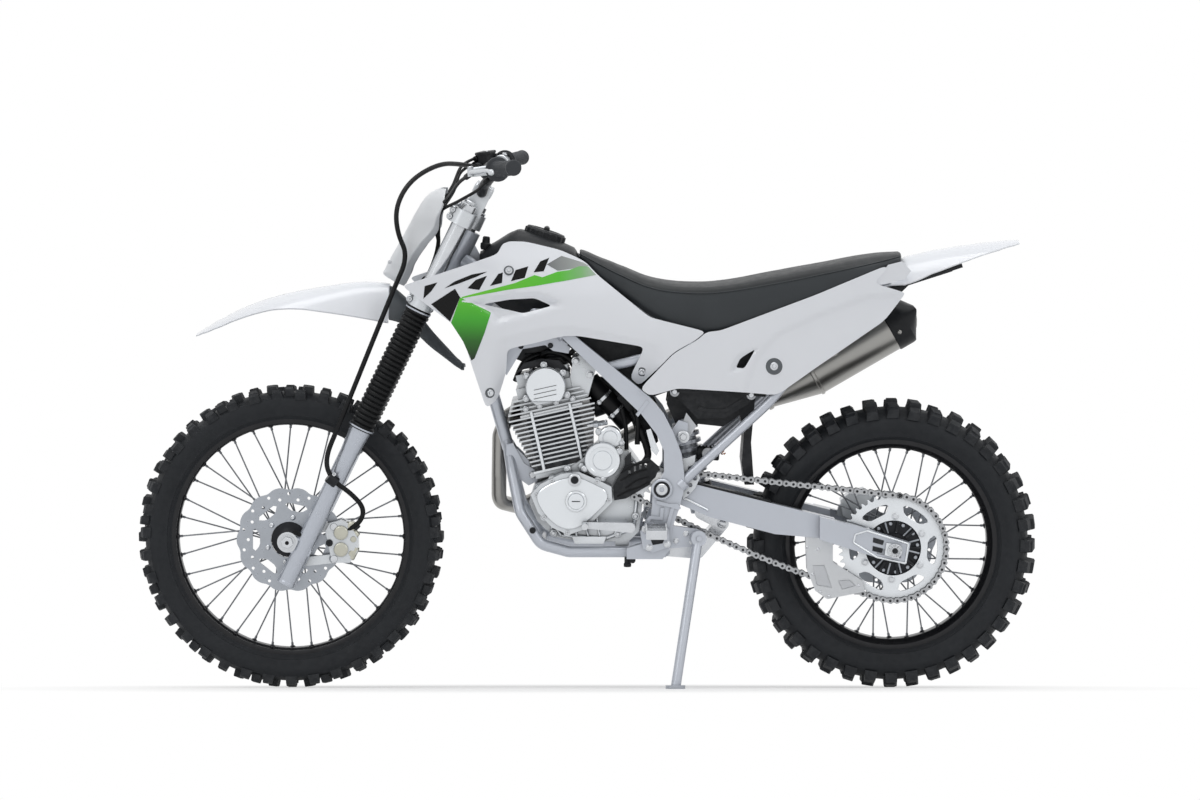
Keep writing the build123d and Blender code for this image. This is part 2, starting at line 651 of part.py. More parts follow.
def swingarm():
    arm = cross(PIVOT_X, PIVOT_Z, 22, -97, 97) + slab([(166, 446), (166, 486), (196, 480), (196, 440)], -70, 70)
    for side in (-1, 1):
        low, high = sorted((side * 68, side * 97))
        root = about(Vector(PIVOT_X, 0, PIVOT_Z), [(0, 16), (75, 8)])
        end = about(REAR_AXLE, [(-132, 67), (-132, 21), (-266, 33)])
        under = about(Vector(PIVOT_X, 0, PIVOT_Z), [(109, -66), (0, -20)])
        arm += slab(root + end + under, low, high)
        low, high = sorted((side * 96, side * 98))
        arm += slab(about(REAR_AXLE, [(-167, 75), (-132, 67), (-132, 21), (-167, 24)]), low, high)
        low, high = sorted((side * 98, side * 124))
        block_end = about(REAR_AXLE, [(-167, 75), (-90, 56), (35, 16), (26, -29), (-37, -17), (-167, 24)])
        arm += slab(block_end, low, high)
        low, high = sorted((side * 121, side * 126))
        arm -= slab(about(REAR_AXLE, [(-40, 6), (-40, -8), (14, -18), (14, -4)]), low, high)
    shaft = cross(PIVOT_X, PIVOT_Z, PIVOT_SHAFT_R, -130, 130)
    axle = cross(REAR_AXLE.X, REAR_AXLE.Z, REAR_AXLE_R, -134, 134)
    arm = arm + shaft - axle
    keep("chassis", "swingarm", largest(arm))
    axle += cross(REAR_AXLE.X, REAR_AXLE.Z, 16, -134, -124) + cross(REAR_AXLE.X, REAR_AXLE.Z, 16, 124, 134)
    axle -= cross(REAR_AXLE.X, REAR_AXLE.Z, AXLE_BORE_R, -140, 140)
    keep("chassis", "rear_axle", axle)
    top, foot = Vector(206, 0, 604), Vector(250, 0, 402)
    shock = rod(top, foot, 24) + cross(206, 604, 14, -84, 84) + cross(250, 402, 12, -16, 16)
    for k in range(SPRING_TURNS):
        at = top + (foot - top) * (0.04 + 0.8 * k / (SPRING_TURNS - 1))
        shock += rod(at, at + (foot - top).normalized() * 8, 33)
    shock -= bodies["chassis"]["subframe"]
    for side in (-1, 1):
        low, high = sorted((side * 84, side * SPAR_Y[0]))
        shock += slab([(196, 560), (180, 596), (196, 618), (216, 612), (216, 594)], low, high)
    keep("chassis", "rear_shock", largest(shock - bodies["chassis"]["subframe"] - bodies["chassis"]["frame_spar_left"] - bodies["chassis"]["frame_spar_right"]))
    link = hull_plate([(166, CRADLE_Z, 18), (241, 312, 15), (296, 377, 15), (250, 402, 16)], -28, 28)
    link -= shock + bodies["chassis"]["frame_cradle"]
    keep("chassis", "shock_linkage", largest(link))


def rear_brake():
    gap = 7.0
    outline = about(REAR_AXLE, [(-109.5, 91), (-87.5, 109), (-55.5, 117), (-37.5, 99), (-59.5, 67), (-81.5, 45), (-103.5, 55)])
    near = slab(outline, REAR_DISC_Y + gap, 96)
    far = slab(outline, 52, REAR_DISC_Y - gap)
    bridge = slab(outline, REAR_DISC_Y - gap, REAR_DISC_Y + gap)
    hanger = link_plate((REAR_AXLE.X, REAR_AXLE.Z, 24), (REAR_AXLE.X - 71.5, REAR_AXLE.Z + 81, 22), 84, 96)
    brake = near + far + bridge + hanger
    brake -= turned([(40, 0), (40, 30), (50, 60), (REAR_DISC_Y - gap, 60), (REAR_DISC_Y - gap, REAR_DISC_R + 5), (REAR_DISC_Y + gap, REAR_DISC_R + 5), (REAR_DISC_Y + gap, 60), (84, 26), (98, 26), (98, 0)], REAR_AXLE)
    brake += slab(about(REAR_AXLE, [(-117.5, 53), (-97.5, 47), (-77.5, 71), (-92.5, 91), (-111.5, 75)]), 84, 98)
    keep("chassis", "rear_caliper", largest(brake))


def pitch_radius(teeth):
    """The radius of the pins of a chain on a sprocket."""
    return CHAIN_PITCH / 2 / math.sin(math.pi / teeth)


def chain_pins():
    """The (x, z) of the chain's pins in order: back along the top, round the wheel and forward below."""
    a, b = COUNTERSHAFT, REAR_AXLE
    r_front, r_rear = pitch_radius(FRONT_TEETH), pitch_radius(REAR_TEETH)
    heading = math.atan2(b.Z - a.Z, b.X - a.X)
    spread = math.acos((r_front - r_rear) / math.hypot(b.X - a.X, b.Z - a.Z))

    def arc(centre, r, first, last, count=60):
        turns = [first + (last - first) * k / count for k in range(count + 1)]
        return [(centre.X + r * math.cos(t), centre.Z + r * math.sin(t)) for t in turns]

    behind = arc(b, r_rear, heading + spread, heading - spread)
    ahead = arc(a, r_front, heading - spread, heading + spread - 2 * math.pi)
    (x1, z1), (x2, z2) = behind[-1], ahead[0]
    shares = [k / 60 for k in range(1, 60)]
    below = [(x1 + (x2 - x1) * u, z1 + (z2 - z1) * u - 4 * CHAIN_SAG * u * (1 - u)) for u in shares]
    line = behind + below + ahead + behind[:1]
    lengths = [math.dist(p, q) for p, q in zip(line, line[1:])]
    count = round(sum(lengths) / CHAIN_PITCH)
    pitch = sum(lengths) / count
    pins, along = [], 0.0
    for (p, q), length in zip(zip(line, line[1:]), lengths):
        while len(pins) < count and len(pins) * pitch <= along + length:
            u = (len(pins) * pitch - along) / length
            pins.append((p[0] + (q[0] - p[0]) * u, p[1] + (q[1] - p[1]) * u))
        along += length
    return pins


def chain_edge(at_pins, between):
    """The outline at one distance from the pins and another between them; below zero is inside the loop."""
    pins = chain_pins()
    edge = []
    for before, at, after in zip(pins[-1:] + pins[:-1], pins, pins[1:] + pins[:1]):
        for p, q, mid, reach in ((before, after, at, at_pins),
                                 (at, after, ((at[0] + after[0]) / 2, (at[1] + after[1]) / 2), between)):
            size = math.dist(p, q)
            edge.append((mid[0] - (q[1] - p[1]) / size * reach, mid[1] + (q[0] - p[0]) / size * reach))
    return edge


def drive():
    half = CHAIN_PLATE_H / 2
    low, high = CHAIN_Y - CHAIN_W / 2, CHAIN_Y + CHAIN_W / 2
    chain = slab(chain_edge(half, CHAIN_WAIST), low, high) - slab(chain_edge(-half, -CHAIN_WAIST), low, high)
    keep("chassis", "chain", chain)
    a = COUNTERSHAFT
    sprocket = cross(a.X, a.Z, pitch_radius(FRONT_TEETH) - half + 0.2, CHAIN_Y - 3, -72) - chain
    keep("chassis", "front_sprocket", largest(sprocket))
    arm = bodies["chassis"]["swingarm"]
    outline = about(
        REAR_AXLE, [(-198, 41), (-194, -47), (-175, -95), (-148, -114), (-64, -97), (-70, -72), (-136, -30), (-136, 41)]
    )
    windows = slab(about(REAR_AXLE, [(-181, -38), (-155, -37), (-138, -88), (-172, -82)]), -98, -94)
    windows += slab(about(REAR_AXLE, [(-124, -72), (-98, -70), (-84, -84), (-115, -92)]), -98, -94)
    room = slab(chain_edge(half + 3, half + 3), -91, -73)
    guide = slab(outline, -96, -68) - room - windows - arm
    guide -= turned([(-100, 0), (-100, 60), (-91, 100), (-91, 130), (-60, 130), (-60, 0)], REAR_AXLE)
    keep("chassis", "chain_guide", largest(guide))


# ---------------------------------------------------------------- engine
CYLINDER_LEAN = 12.7
CYLINDER_BASE = Vector(-62, 0, 495)


def up_cylinder(s, across):
    """A point s up the cylinder's axis and across from it, in the side view."""
    t = math.radians(CYLINDER_LEAN)
    return Vector(
        CYLINDER_BASE.X - math.sin(t) * s + math.cos(t) * across,
        0,
        CYLINDER_BASE.Z + math.cos(t) * s + math.sin(t) * across,
    )


def block(s_low, s_high, front, back, half_width):
    corners = [up_cylinder(s, a) for s, a in ((s_low, front), (s_high, front), (s_high, back), (s_low, back))]
    return slab([(p.X, p.Z) for p in corners], -half_width, half_width)


BARREL_FINS = 12


def engine():
    case = slab(
        [
            (-125, 470), (-138, 430), (-120, 388), (-80, 352), (-20, 342), (55, 342), (55, 332.1), (85, 332.1),
            (85, 342), (108, 365), (116, 430), (118, 500), (85, 545), (20, 560), (-30, 520), (-60, 500),
        ],
        -72,
        72,
    )
    case += slab([(-110, 470), (-134, 474), (-156, 500), (-150, 530), (-140, 526), (-80, 498)], -24, 24)
    case += cross(43, 576, 26, -84, -50) + cross(43, 576, 19, -88, -50)
    case -= cross(PIVOT_X, PIVOT_Z, 26, -80, 80) + bodies["chassis"]["frame_cradle"]
    case = largest(case)
    keep("chassis", "engine_case", case)
    barrel = block(0, 142, -52, 62, 54) + block(0, 16, -62, 74, 60)
    for k in range(BARREL_FINS):
        foot = 28 + 9.9 * k
        barrel += block(foot, foot + 3.6, -66 - 2.5 * k, 76 + 2.5 * k, 57 + k * 0.6)
    for middle in (-34, 4, 42):
        barrel += block(16, 140, middle - 3, middle + 3, 56)
    port = rod((-130, 33, 648), (-192, 43, 612), EXHAUST_R + 4)
    barrel = largest(barrel - case - bodies["chassis"]["frame_cradle"] - port)
    keep("chassis", "engine_cylinder", barrel)
    head = block(142, 206, -62, 72, 56) + block(206, 236, -56, 62, 50)
    for k in range(4):
        head += block(150 + 9.6 * k, 153.6 + 9.6 * k, -92 + 5 * k, 98 - 6 * k, 64)
    cam = up_cylinder(199, 5)
    cover = cross(cam.X, cam.Z, 45, -80, -40) & block(164, 260, -80, 80, 90)
    cover += cross(cam.X, cam.Z, 37, -83, -60) & block(170, 260, -80, 80, 90)
    for foot in (180, 193, 206):
        cover -= block(foot, foot + 2.5, -19, 29, 90) & slab([(-300, 500), (100, 500), (100, 900), (-300, 900)], -90, -81)
    head += cover
    for side in (-1, 1):
        low, high = sorted((side * 50, side * 58))
        head += slab([(-46, 712), (-40, 747), (-20, 764), (14, 738), (-6, 668), (-34, 655)], low, high)
        low, high = sorted((side * 50, side * SPAR_Y[0]))
        head += cross(-4, 746, 7, low, high)
    keep("chassis", "engine_head", largest(head))
    left = slab(
        [
            (-134, 452), (-112, 476), (-66, 499), (-26, 503), (18, 484), (46, 470), (48, 436), (20, 408), (-10, 376),
            (-50, 362), (-86, 378), (-118, 412),
        ],
        -110,
        -72,
    )
    left += cross(26, 527, 40, -98, -72) - slab([(30, 440), (140, 440), (140, 600), (54, 600)], -98, -60)
    left += cross(-33, 438, 21, -114, -100) + cross(-33, 438, 14, -117, -100)
    left += cross(-36, 485, 13, -115, -90)
    for x, z in ((-122, 452), (-86, 484), (14, 482), (40, 440), (2, 386), (-52, 368), (-104, 402)):
        left += cross(x, z, 9, -106, -72)
    keep("chassis", "stator_cover", largest(left - case))
    right = cross(15, 445, 72, 72, 106) + cross(15, 445, 56, 100, 112)
    right += cross(-72, 478, 27, 72, 96) + link_plate((-72, 478, 22), (15, 445, 40), 72, 88)
    for turn in range(0, 360, 45):
        t = math.radians(turn + 10)
        right += cross(15 + 70 * math.cos(t), 445 + 70 * math.sin(t), 8, 72, 100)
    keep("chassis", "clutch_cover", right)
    guard = slab([(52, 438), (50, 470), (73, 511), (129, 534), (153, 513), (140, 478), (78, 442)], -97.6, -93)
    for k in range(4):
        x, z = 84 + 12 * k, 506 + 5 * k
        guard -= slab([(x, z - 10), (x + 5, z - 10), (x + 5, z + 4), (x, z + 4)], -99, -90)
    guard -= cross(PIVOT_X, PIVOT_Z, 27, -100, -90)
    guard += cross(80, 512, 6, -94, -91) + slab([(76, 505), (90, 505), (90, 545), (76, 530)], -94, -72)
    chain_room = link_plate((COUNTERSHAFT.X, COUNTERSHAFT.Z, 45), (400, 400, 110), -93, -60)
    keep("chassis", "sprocket_guard", largest(guard - chain_room))
    carb = rod((2, 0, 640), (168, 0, 700), 27) + cross(80, 650, 24, -34, 34) + rod((84, 0, 660), (92, 0, 612), 25)
    for share in (0.2, 0.72):
        at = Vector(2, 0, 640) + Vector(166, 0, 60) * share
        carb += rod(at, at + Vector(166, 0, 60).normalized() * 9, 30)
    carb -= head + barrel
    keep("chassis", "carburettor", carb)


EXHAUST_R = 17.0
MUFFLER_Y = 138.0
MUFFLER_R = 52.0


def exhaust():
    header = tube(
        [
            (-140, 35, 642), (-190, 42, 612), (-207, 48, 570), (-209, 55, 480), (-210, 70, 415), (-167, 130, 396),
            (-60, 150, 440), (80, 152, 555), (200, 148, 612), (330, MUFFLER_Y + 2, 612), (400, MUFFLER_Y, 640),
        ],
        EXHAUST_R,
        bend=30,
    )
    header -= bodies["chassis"]["engine_head"]
    axis = Vector(199, 0, 116).normalized()
    start = Vector(400, MUFFLER_Y, 640)
    plane = Plane(origin=start, z_dir=axis)
    muffler = plane * Cone(20, MUFFLER_R, 122, align=(Align.CENTER, Align.CENTER, Align.MIN))
    muffler += plane * Pos(0, 0, 122) * Cylinder(MUFFLER_R, 238, align=(Align.CENTER, Align.CENTER, Align.MIN))
    muffler += slab([(530, 740), (560, 748), (580, 900), (562, 893), (545, 800)], 84, 92)
    outlet = plane * Pos(0, 0, 340) * Cylinder(OUTLET_BORE_R, 60, align=(Align.CENTER, Align.CENTER, Align.MIN))
    muffler -= outlet + bodies["chassis"]["subframe"]
    keep("chassis", "muffler", largest(muffler))
    keep("chassis", "exhaust_pipe", largest(header - muffler))


OUTLET_BORE_R = 18.0


# ---------------------------------------------------------------- bodywork
# half width of the bodywork: rows are x, columns are heights
SKIN_Z = [620, 720, 820, 900, 960, 1030]
SKIN_HALF = {
    -440: [150, 152, 152, 150, 146, 130],
    -340: [158, 160, 160, 156, 148, 120],
    -220: [164, 165, 162, 152, 136, 99],
    -100: [160, 160, 154, 142, 122, 88],
    20: [148, 147, 142, 128, 104, 72],
    140: [138, 136, 130, 113, 92, 64],
    280: [130, 127, 120, 108, 92, 70],
    420: [125, 121, 115, 108, 96, 80],
    560: [120, 116, 110, 104, 98, 86],
    720: [112, 108, 103, 99, 95, 86],
}
SHROUD_OUTLINE = [
    (-412, 918), (-408, 924), (-207, 989), (-196, 1011), (-180, 1017), (-144, 1016), (-68, 998), (-13, 973),
    (16, 942), (124, 855), (137, 848), (255, 818), (234, 800), (183, 772), (108, 694), (87, 714), (117, 779),
    (110, 786), (-30, 810), (-65, 809), (-124, 794), (-176, 783), (-185, 775), (-187, 732), (-193, 710),
    (-206, 670), (-231, 651), (-266, 757), (-281, 808), (-289, 826), (-381, 894),
]
SHROUD_VENT = [(-238, 880), (-180, 890), (-124, 893), (-86, 876), (-150, 860)]
PANEL_OUTLINE = [
    (255.5, 817.5), (289, 820), (399, 861), (499, 898), (649, 960), (660, 958), (628, 924), (698, 903), (693, 893),
    (653, 841), (499, 736), (414, 676), (325, 684), (200, 692), (187, 691), (132, 676), (108.5, 693.5),
    (183.5, 771.5), (234.5, 799.5),
]
SKIN_T = 3.5


def skin_half(x, z):
    """The bodywork's half width at a place in the side view."""
    row = smooth([(sx, *values) for sx, values in SKIN_HALF.items()], x)
    return smooth(list(zip(SKIN_Z, row)), z)[0]


def skin(side):
    """The whole curved wall of one side, which the panels are cut from."""
    face = Face.make_surface_from_array_of_points(
        [[Vector(x, side * half, z) for z, half in zip(SKIN_Z, row)] for x, row in SKIN_HALF.items()]
    )
    walls = [Solid.thicken(face, SKIN_T), Solid.thicken(face, -SKIN_T)]
    return min(walls, key=lambda wall: abs(wall.center().Y))


TANK_SECTIONS = [  # x and the right half's corners, from the bottom up
    (-248, [(55, 915), (72, 940), (70, 965), (40, 984)]),
    (-225, [(74, 885), (96, 930), (92, 975), (50, 1001)]),
    (-170, [(84, 850), (112, 910), (96, 1000), (52, 1035)]),
    (-146, [(88, 840), (114, 900), (96, 1000), (52, 1036)]),
    (-28, [(86, 832), (104, 890), (80, 968), (46, 992)]),
    (-22, [(86, 832), (104, 888), (80, 940), (46, 958)]),
    (60, [(78, 836), (86, 860), (70, 888), (40, 894)]),
]
SEAT_SECTIONS = [
    (-20, [(38, 966), (42, 976), (40, 986), (26, 993)]),
    (60, [(60, 900), (64, 910), (58, 944), (38, 958)]),
    (130, [(80, 852), (84, 860), (74, 914), (52, 931)]),
    (200, [(92, 806), (98, 830), (86, 902), (62, 919)]),
    (290, [(100, 818), (104, 826), (94, 903), (70, 921)]),
    (420, [(98, 858), (102, 870), (96, 924), (74, 943)]),
    (520, [(92, 895), (98, 906), (92, 944), (70, 961)]),
    (620, [(84, 933), (92, 947), (84, 966), (60, 980)]),
    (690, [(60, 960), (68, 970), (60, 982), (40, 987)]),
]
REAR_FENDER = [
    (596, 913, 74, 10), (660, 938, 80, 30), (694, 950, 84, 38), (704, 975, 86, 50), (760, 990, 82, 40),
    (840, 1002, 70, 26), (910, 1010, 58, 14), (958, 1014, 44, 6),
]


def steering_room():
    """The space that the fork clamps sweep on each side, which the tank leaves open."""
    reach = math.hypot(FORK_OFFSET, LEG_Y) + 28 + 6
    leg_angle = 90 + math.degrees(math.atan2(FORK_OFFSET, LEG_Y))
    half_width = math.degrees(math.asin((28 + 6) / math.hypot(FORK_OFFSET, LEG_Y)))
    behind = math.tan(math.radians(leg_angle - STEERING_LOCK - half_width)) * 200
    wedge = make_face(Polyline((0, 0, 0), (200, -behind, 0), (200, behind, 0), close=True))
    sweep_room = Pos(0, 0, 500) * (Cylinder(reach, 420, align=(Align.CENTER, Align.CENTER, Align.MIN))
                                   - extrude(wedge, amount=420, dir=(0, 0, 1)))
    return FORK * sweep_room


def bodywork():
    chassis = bodies["chassis"]
    spar_room = tube(spar_run(-1), SPAR_TUBE_R + 0.5, bend=60) + tube(spar_run(1), SPAR_TUBE_R + 0.5, bend=60)
    tank = ruled([(x, mirrored(half)) for x, half in TANK_SECTIONS])
    head_room = slab([(-300, 760), (-300, 1010), (-250, 990), (-196, 912), (-196, 760)], -9, 9)
    tank -= spar_room + head_room + fork_bar(0, 0, HEAD[0] - 20, HEAD[1] + 20, 31) + steering_room()
    tank = largest(tank)
    cap_axis = Vector(28, 0, 88).normalized()
    cap = Plane(origin=(-106, 0, 1017), z_dir=cap_axis) * Cylinder(44, 21, align=(Align.CENTER, Align.CENTER, Align.MIN))
    cap = largest(cap - tank)
    keep("chassis", "fuel_tank", tank)
    keep("chassis", "fuel_cap", cap)
    seat = ruled([(x, mirrored(half)) for x, half in SEAT_SECTIONS])
    keep("chassis", "seat", largest(seat - chassis["subframe"] - tank))
    muffler_room = Plane(origin=(400, MUFFLER_Y, 640), z_dir=(199, 0, 116)) * Cylinder(
        MUFFLER_R + 6, 480, align=(Align.CENTER, Align.CENTER, Align.MIN)
    )
    for name, side in (("left", -1), ("right", 1)):
        wall = skin(side)
        shroud = wall & slab(SHROUD_OUTLINE, -200, 200) - slab(SHROUD_VENT, -200, 200)
        shroud = largest(shroud)
        for x, z in ((-190, 940), (-60, 905)):
            half = skin_half(x, z)
            shroud += rod((x, side * (half - 1), z), (x, side * 60, z), 8) - tank
        keep("chassis", f"shroud_{name}", largest(shroud - chassis["frame_spar_left"] - chassis["frame_spar_right"]))
        panel = wall & slab(PANEL_OUTLINE, -200, 200)
        if side > 0:
            panel -= muffler_room
        panel = largest(panel)
        for x, z in ((230, 760), (380, 790)):
            half = skin_half(x, z)
            panel += rod((x, side * (half - 1), z), (x, side * AIRBOX_HALF, z), 7) - chassis["subframe"]
        keep("chassis", f"side_panel_{name}", largest(panel - chassis["subframe"]))
    box = slab(
        [(172, 690), (238, 620), (300, 622), (350, 652), (385, 690), (398, 800), (250, 772), (172, 745)],
        -AIRBOX_HALF,
        AIRBOX_HALF,
    )
    box += slab([(330, 640), (343, 586), (338, 519), (345, 469), (366, 469), (359, 564), (370, 690)], -62, 62)
    box -= chassis["subframe"] + chassis["carburettor"] + chassis["rear_shock"]
    keep("chassis", "airbox", largest(box))
    fender = channel(REAR_FENDER, 4, 18)
    keep("chassis", "rear_fender", largest(fender - chassis["subframe"] - chassis["seat"]))


AIRBOX_HALF = 84.7


def foot_controls():
    pegs = []
    for side in (-1, 1):
        low, high = sorted((side * SPAR_Y[1], side * 140))
        peg = cross(144, 376, 15, low, high)
        low, high = sorted((side * 128, side * 222))
        peg += slab([(122, 366), (168, 366), (168, 386), (122, 386)], low, high)
        pegs.append(peg - bodies["chassis"]["frame_spar_left"])
    keep("chassis", "footpegs", Compound(pegs))
    shift = cross(88, 380, 6, -128, -72) + link_plate((88, 380, 11), (-13, 386, 7), -128, -120)
    shift += cross(-13, 386, 7, -160, -128)
    keep("chassis", "shift_lever", shift - bodies["chassis"]["engine_case"])
    pedal = link_plate((176, 350, 12), (-10, 352, 8), 128, 136) + cross(176, 350, 9, SPAR_Y[1] - 6, 136)
    pedal += slab([(-30, 354), (16, 354), (16, 362), (-30, 362)], 128, 160)
    keep("chassis", "brake_pedal", largest(pedal - bodies["chassis"]["frame_spar_right"] - bodies["chassis"]["footpegs"]))


# ---------------------------------------------------------------- side stand
STAND_DOWN = Vector(-0.15, -0.30, -0.94).normalized()
STAND_UP = Vector(1.0, -0.08, 0.03).normalized()
STAND_R = 11.0
PAD_R = 22.0
PAD_T = 8.0


def lift():
    """How far the leaned machine rises to stand on the sides of its treads."""
    return TREAD_CROWN_R * (1 - math.cos(math.radians(LEAN)))


def stand_axis():
    swing = (STAND_UP - STAND_DOWN).normalized()
    return (Vector(0, 1, 0) - swing * swing.Y).normalized()


def stand_angle():
    """The angle from standing to folded, by the right-hand rule about the stand's axis."""
    axis = stand_axis()
    a = STAND_DOWN - axis * STAND_DOWN.dot(axis)
    b = STAND_UP - axis * STAND_UP.dot(axis)
    return math.degrees(math.atan2(a.cross(b).dot(axis), a.dot(b)))


def stand_length():
    """From the pivot down to the ground along the leg."""
    t = math.radians(LEAN)
    up = Vector(0, math.sin(t), math.cos(t))
    return (-lift() - STAND_PIVOT.dot(up)) / STAND_DOWN.dot(up)


def side_stand():
    axis = stand_axis()
    t = math.radians(LEAN)
    up = Vector(0, math.sin(t), math.cos(t))
    foot = STAND_PIVOT + STAND_DOWN * stand_length()
    boss = rod(STAND_PIVOT + axis * 4.5, STAND_PIVOT + axis * 40, 17)
    bracket = bodies["chassis"]["frame_spar_left"]
    boss &= slab([(200, 320), (280, 320), (280, 400), (200, 400)], -160, -104)
    bracket += boss
    bracket += rod(STAND_PIVOT - axis * 24, STAND_PIVOT + axis * 20, 6)
    keep("chassis", "frame_spar_left", largest(bracket))
    knuckle = rod(STAND_PIVOT - axis * 20, STAND_PIVOT + axis * 4, 17)
    leg = knuckle + rod(STAND_PIVOT - axis * 8, foot + STAND_DOWN * 10, STAND_R)
    leg += Plane(origin=foot, z_dir=up) * Cylinder(PAD_R, PAD_T, align=(Align.CENTER, Align.CENTER, Align.MIN))
    leg -= Plane(origin=foot, z_dir=-up) * Cylinder(60, 40, align=(Align.CENTER, Align.CENTER, Align.MIN))
    leg -= rod(STAND_PIVOT - axis * 30, STAND_PIVOT + axis * 30, 6 + SHAFT_GAP)
    keep("side_stand", "side_stand", largest(leg))


# ---------------------------------------------------------------- the whole machine
def make_all():
    front_wheel()
    rear_wheel()
    fork()
    front_bodywork_first()
    handlebar()
    front_brake()
    brake_hose()
    frame()
    swingarm()
    rear_brake()
    drive()
    engine()
    exhaust()
    bodywork()
    foot_controls()
    side_stand()


def front_bodywork_first():
    """The fender comes before the clamps, which reach down to it, and the plate after them."""
    stations = [(FRONT_AXLE.X + dx, FRONT_AXLE.Z + dz, half, drop) for dx, dz, half, drop in FRONT_FENDER]
    keep("steering", "front_fender", channel(stations, 4, 14))
    clamps()
    front_bodywork()


def parked():
    """The move from the upright frame to the parked one, and where the parked origin lies."""
    lean = Rot(LEAN, 0, 0)
    boxes = [(lean * shape).bounding_box() for members in bodies.values() for shape in members.values()]
    middle_x = (min(b.min.X for b in boxes) + max(b.max.X for b in boxes)) / 2
    middle_y = (min(b.min.Y for b in boxes) + max(b.max.Y for b in boxes)) / 2
    return Pos(-middle_x, -middle_y, lift()) * lean


make_all()
PARK = parked()
for body, members in bodies.items():
    for node, shape in members.items():
        export_step(PARK * shape, f"parts/{node}.step")
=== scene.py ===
"""Looks of the parked off-road motorcycle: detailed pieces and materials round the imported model."""
import json
from math import acos, asin, atan2, copysign, cos, dist, hypot, pi, radians, sin, sqrt, tan

import bmesh
import bpy
from mathutils import Matrix, Vector


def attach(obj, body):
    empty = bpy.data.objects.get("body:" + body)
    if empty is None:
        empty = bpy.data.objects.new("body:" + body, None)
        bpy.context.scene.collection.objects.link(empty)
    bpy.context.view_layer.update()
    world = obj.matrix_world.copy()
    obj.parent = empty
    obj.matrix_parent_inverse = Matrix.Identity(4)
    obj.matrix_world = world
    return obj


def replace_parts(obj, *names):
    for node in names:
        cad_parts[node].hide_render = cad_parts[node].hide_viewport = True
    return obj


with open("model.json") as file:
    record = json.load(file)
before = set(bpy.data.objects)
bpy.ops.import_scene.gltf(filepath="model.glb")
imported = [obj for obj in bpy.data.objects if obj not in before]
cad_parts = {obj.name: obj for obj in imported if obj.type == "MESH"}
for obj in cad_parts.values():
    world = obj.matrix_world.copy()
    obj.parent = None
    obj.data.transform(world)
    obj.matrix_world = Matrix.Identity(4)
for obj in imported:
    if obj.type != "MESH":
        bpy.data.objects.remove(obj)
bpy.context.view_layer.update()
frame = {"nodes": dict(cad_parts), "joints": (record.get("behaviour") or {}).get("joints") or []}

# ---------------------------------------------------------------- where things are
# Pieces are drawn in the upright frame of the motorcycle, in millimetres: -x forward, -y left, z up from the
# ground, x = 0 midway between the axles. PARK leans and moves them onto the side stand, as the model is.
MM = 0.001
LEAN = radians(9)
WHEELBASE = 1355.0
CROWN_R = 75  # how round the tyres are across their tread
FRONT_TYRE_R, FRONT_TYRE_W, FRONT_RIM_R, FRONT_RIM_INNER_R, FRONT_RIM_W = 345, 90, 271, 254, 50
REAR_TYRE_R, REAR_TYRE_W, REAR_RIM_R, REAR_RIM_INNER_R, REAR_RIM_W = 329, 112, 240, 217, 64
FRONT_AXLE = Vector((-WHEELBASE / 2, 0, FRONT_TYRE_R))
REAR_AXLE = Vector((WHEELBASE / 2, 0, REAR_TYRE_R))
RAKE = radians(26)
FORK_OFFSET, AXLE_LEAD, LEG_Y = 22.0, 36.8, 95.0
LEFT, RIGHT = Vector((0, -1, 0)), Vector((0, 1, 0))

joints = {joint["name"]: joint for joint in frame["joints"]}
lean = Matrix.Rotation(LEAN, 4, "X")
PARK = Matrix.Translation(Vector(joints["rear_wheel_spin"]["pos_m"]) - lean @ (REAR_AXLE * MM)) @ lean

FORK_X = Vector((cos(RAKE), 0, -sin(RAKE)))  # across the fork, rearward
FORK_Z = Vector((sin(RAKE), 0, cos(RAKE)))  # up the steering axis
FORK_FOOT = FRONT_AXLE + FORK_X * (FORK_OFFSET + AXLE_LEAD)


def fork_point(x, y, z):
    """A point of the fork's own frame, in the machine's frame."""
    return FORK_FOOT + FORK_X * x + Vector((0, y, 0)) + FORK_Z * z


def from_front(x, y, z):
    """A point given from the front axle."""
    return FRONT_AXLE + Vector((x, y, z))


def from_rear(x, y, z):
    """A point given from the rear axle."""
    return REAR_AXLE + Vector((x, y, z))


def turns(count, first=0.0):
    """Angles evenly round a full turn."""
    return [first + 2 * pi * k / count for k in range(count)]


def radial(t):
    """The direction at angle t in the plane of the wheels."""
    return Vector((cos(t), 0, sin(t)))


def polar(centre, r, t):
    """The (x, z) at radius r and angle t round a centre."""
    return centre.x + r * cos(t), centre.z + r * sin(t)


# ---------------------------------------------------------------- materials
def linear(hexa):
    """The colour of an sRGB hex string, as Blender wants it."""
    parts = [int(hexa[i:i + 2], 16) / 255 for i in (0, 2, 4)]
    return tuple(c / 12.92 if c <= 0.04045 else ((c + 0.055) / 1.055) ** 2.4 for c in parts)


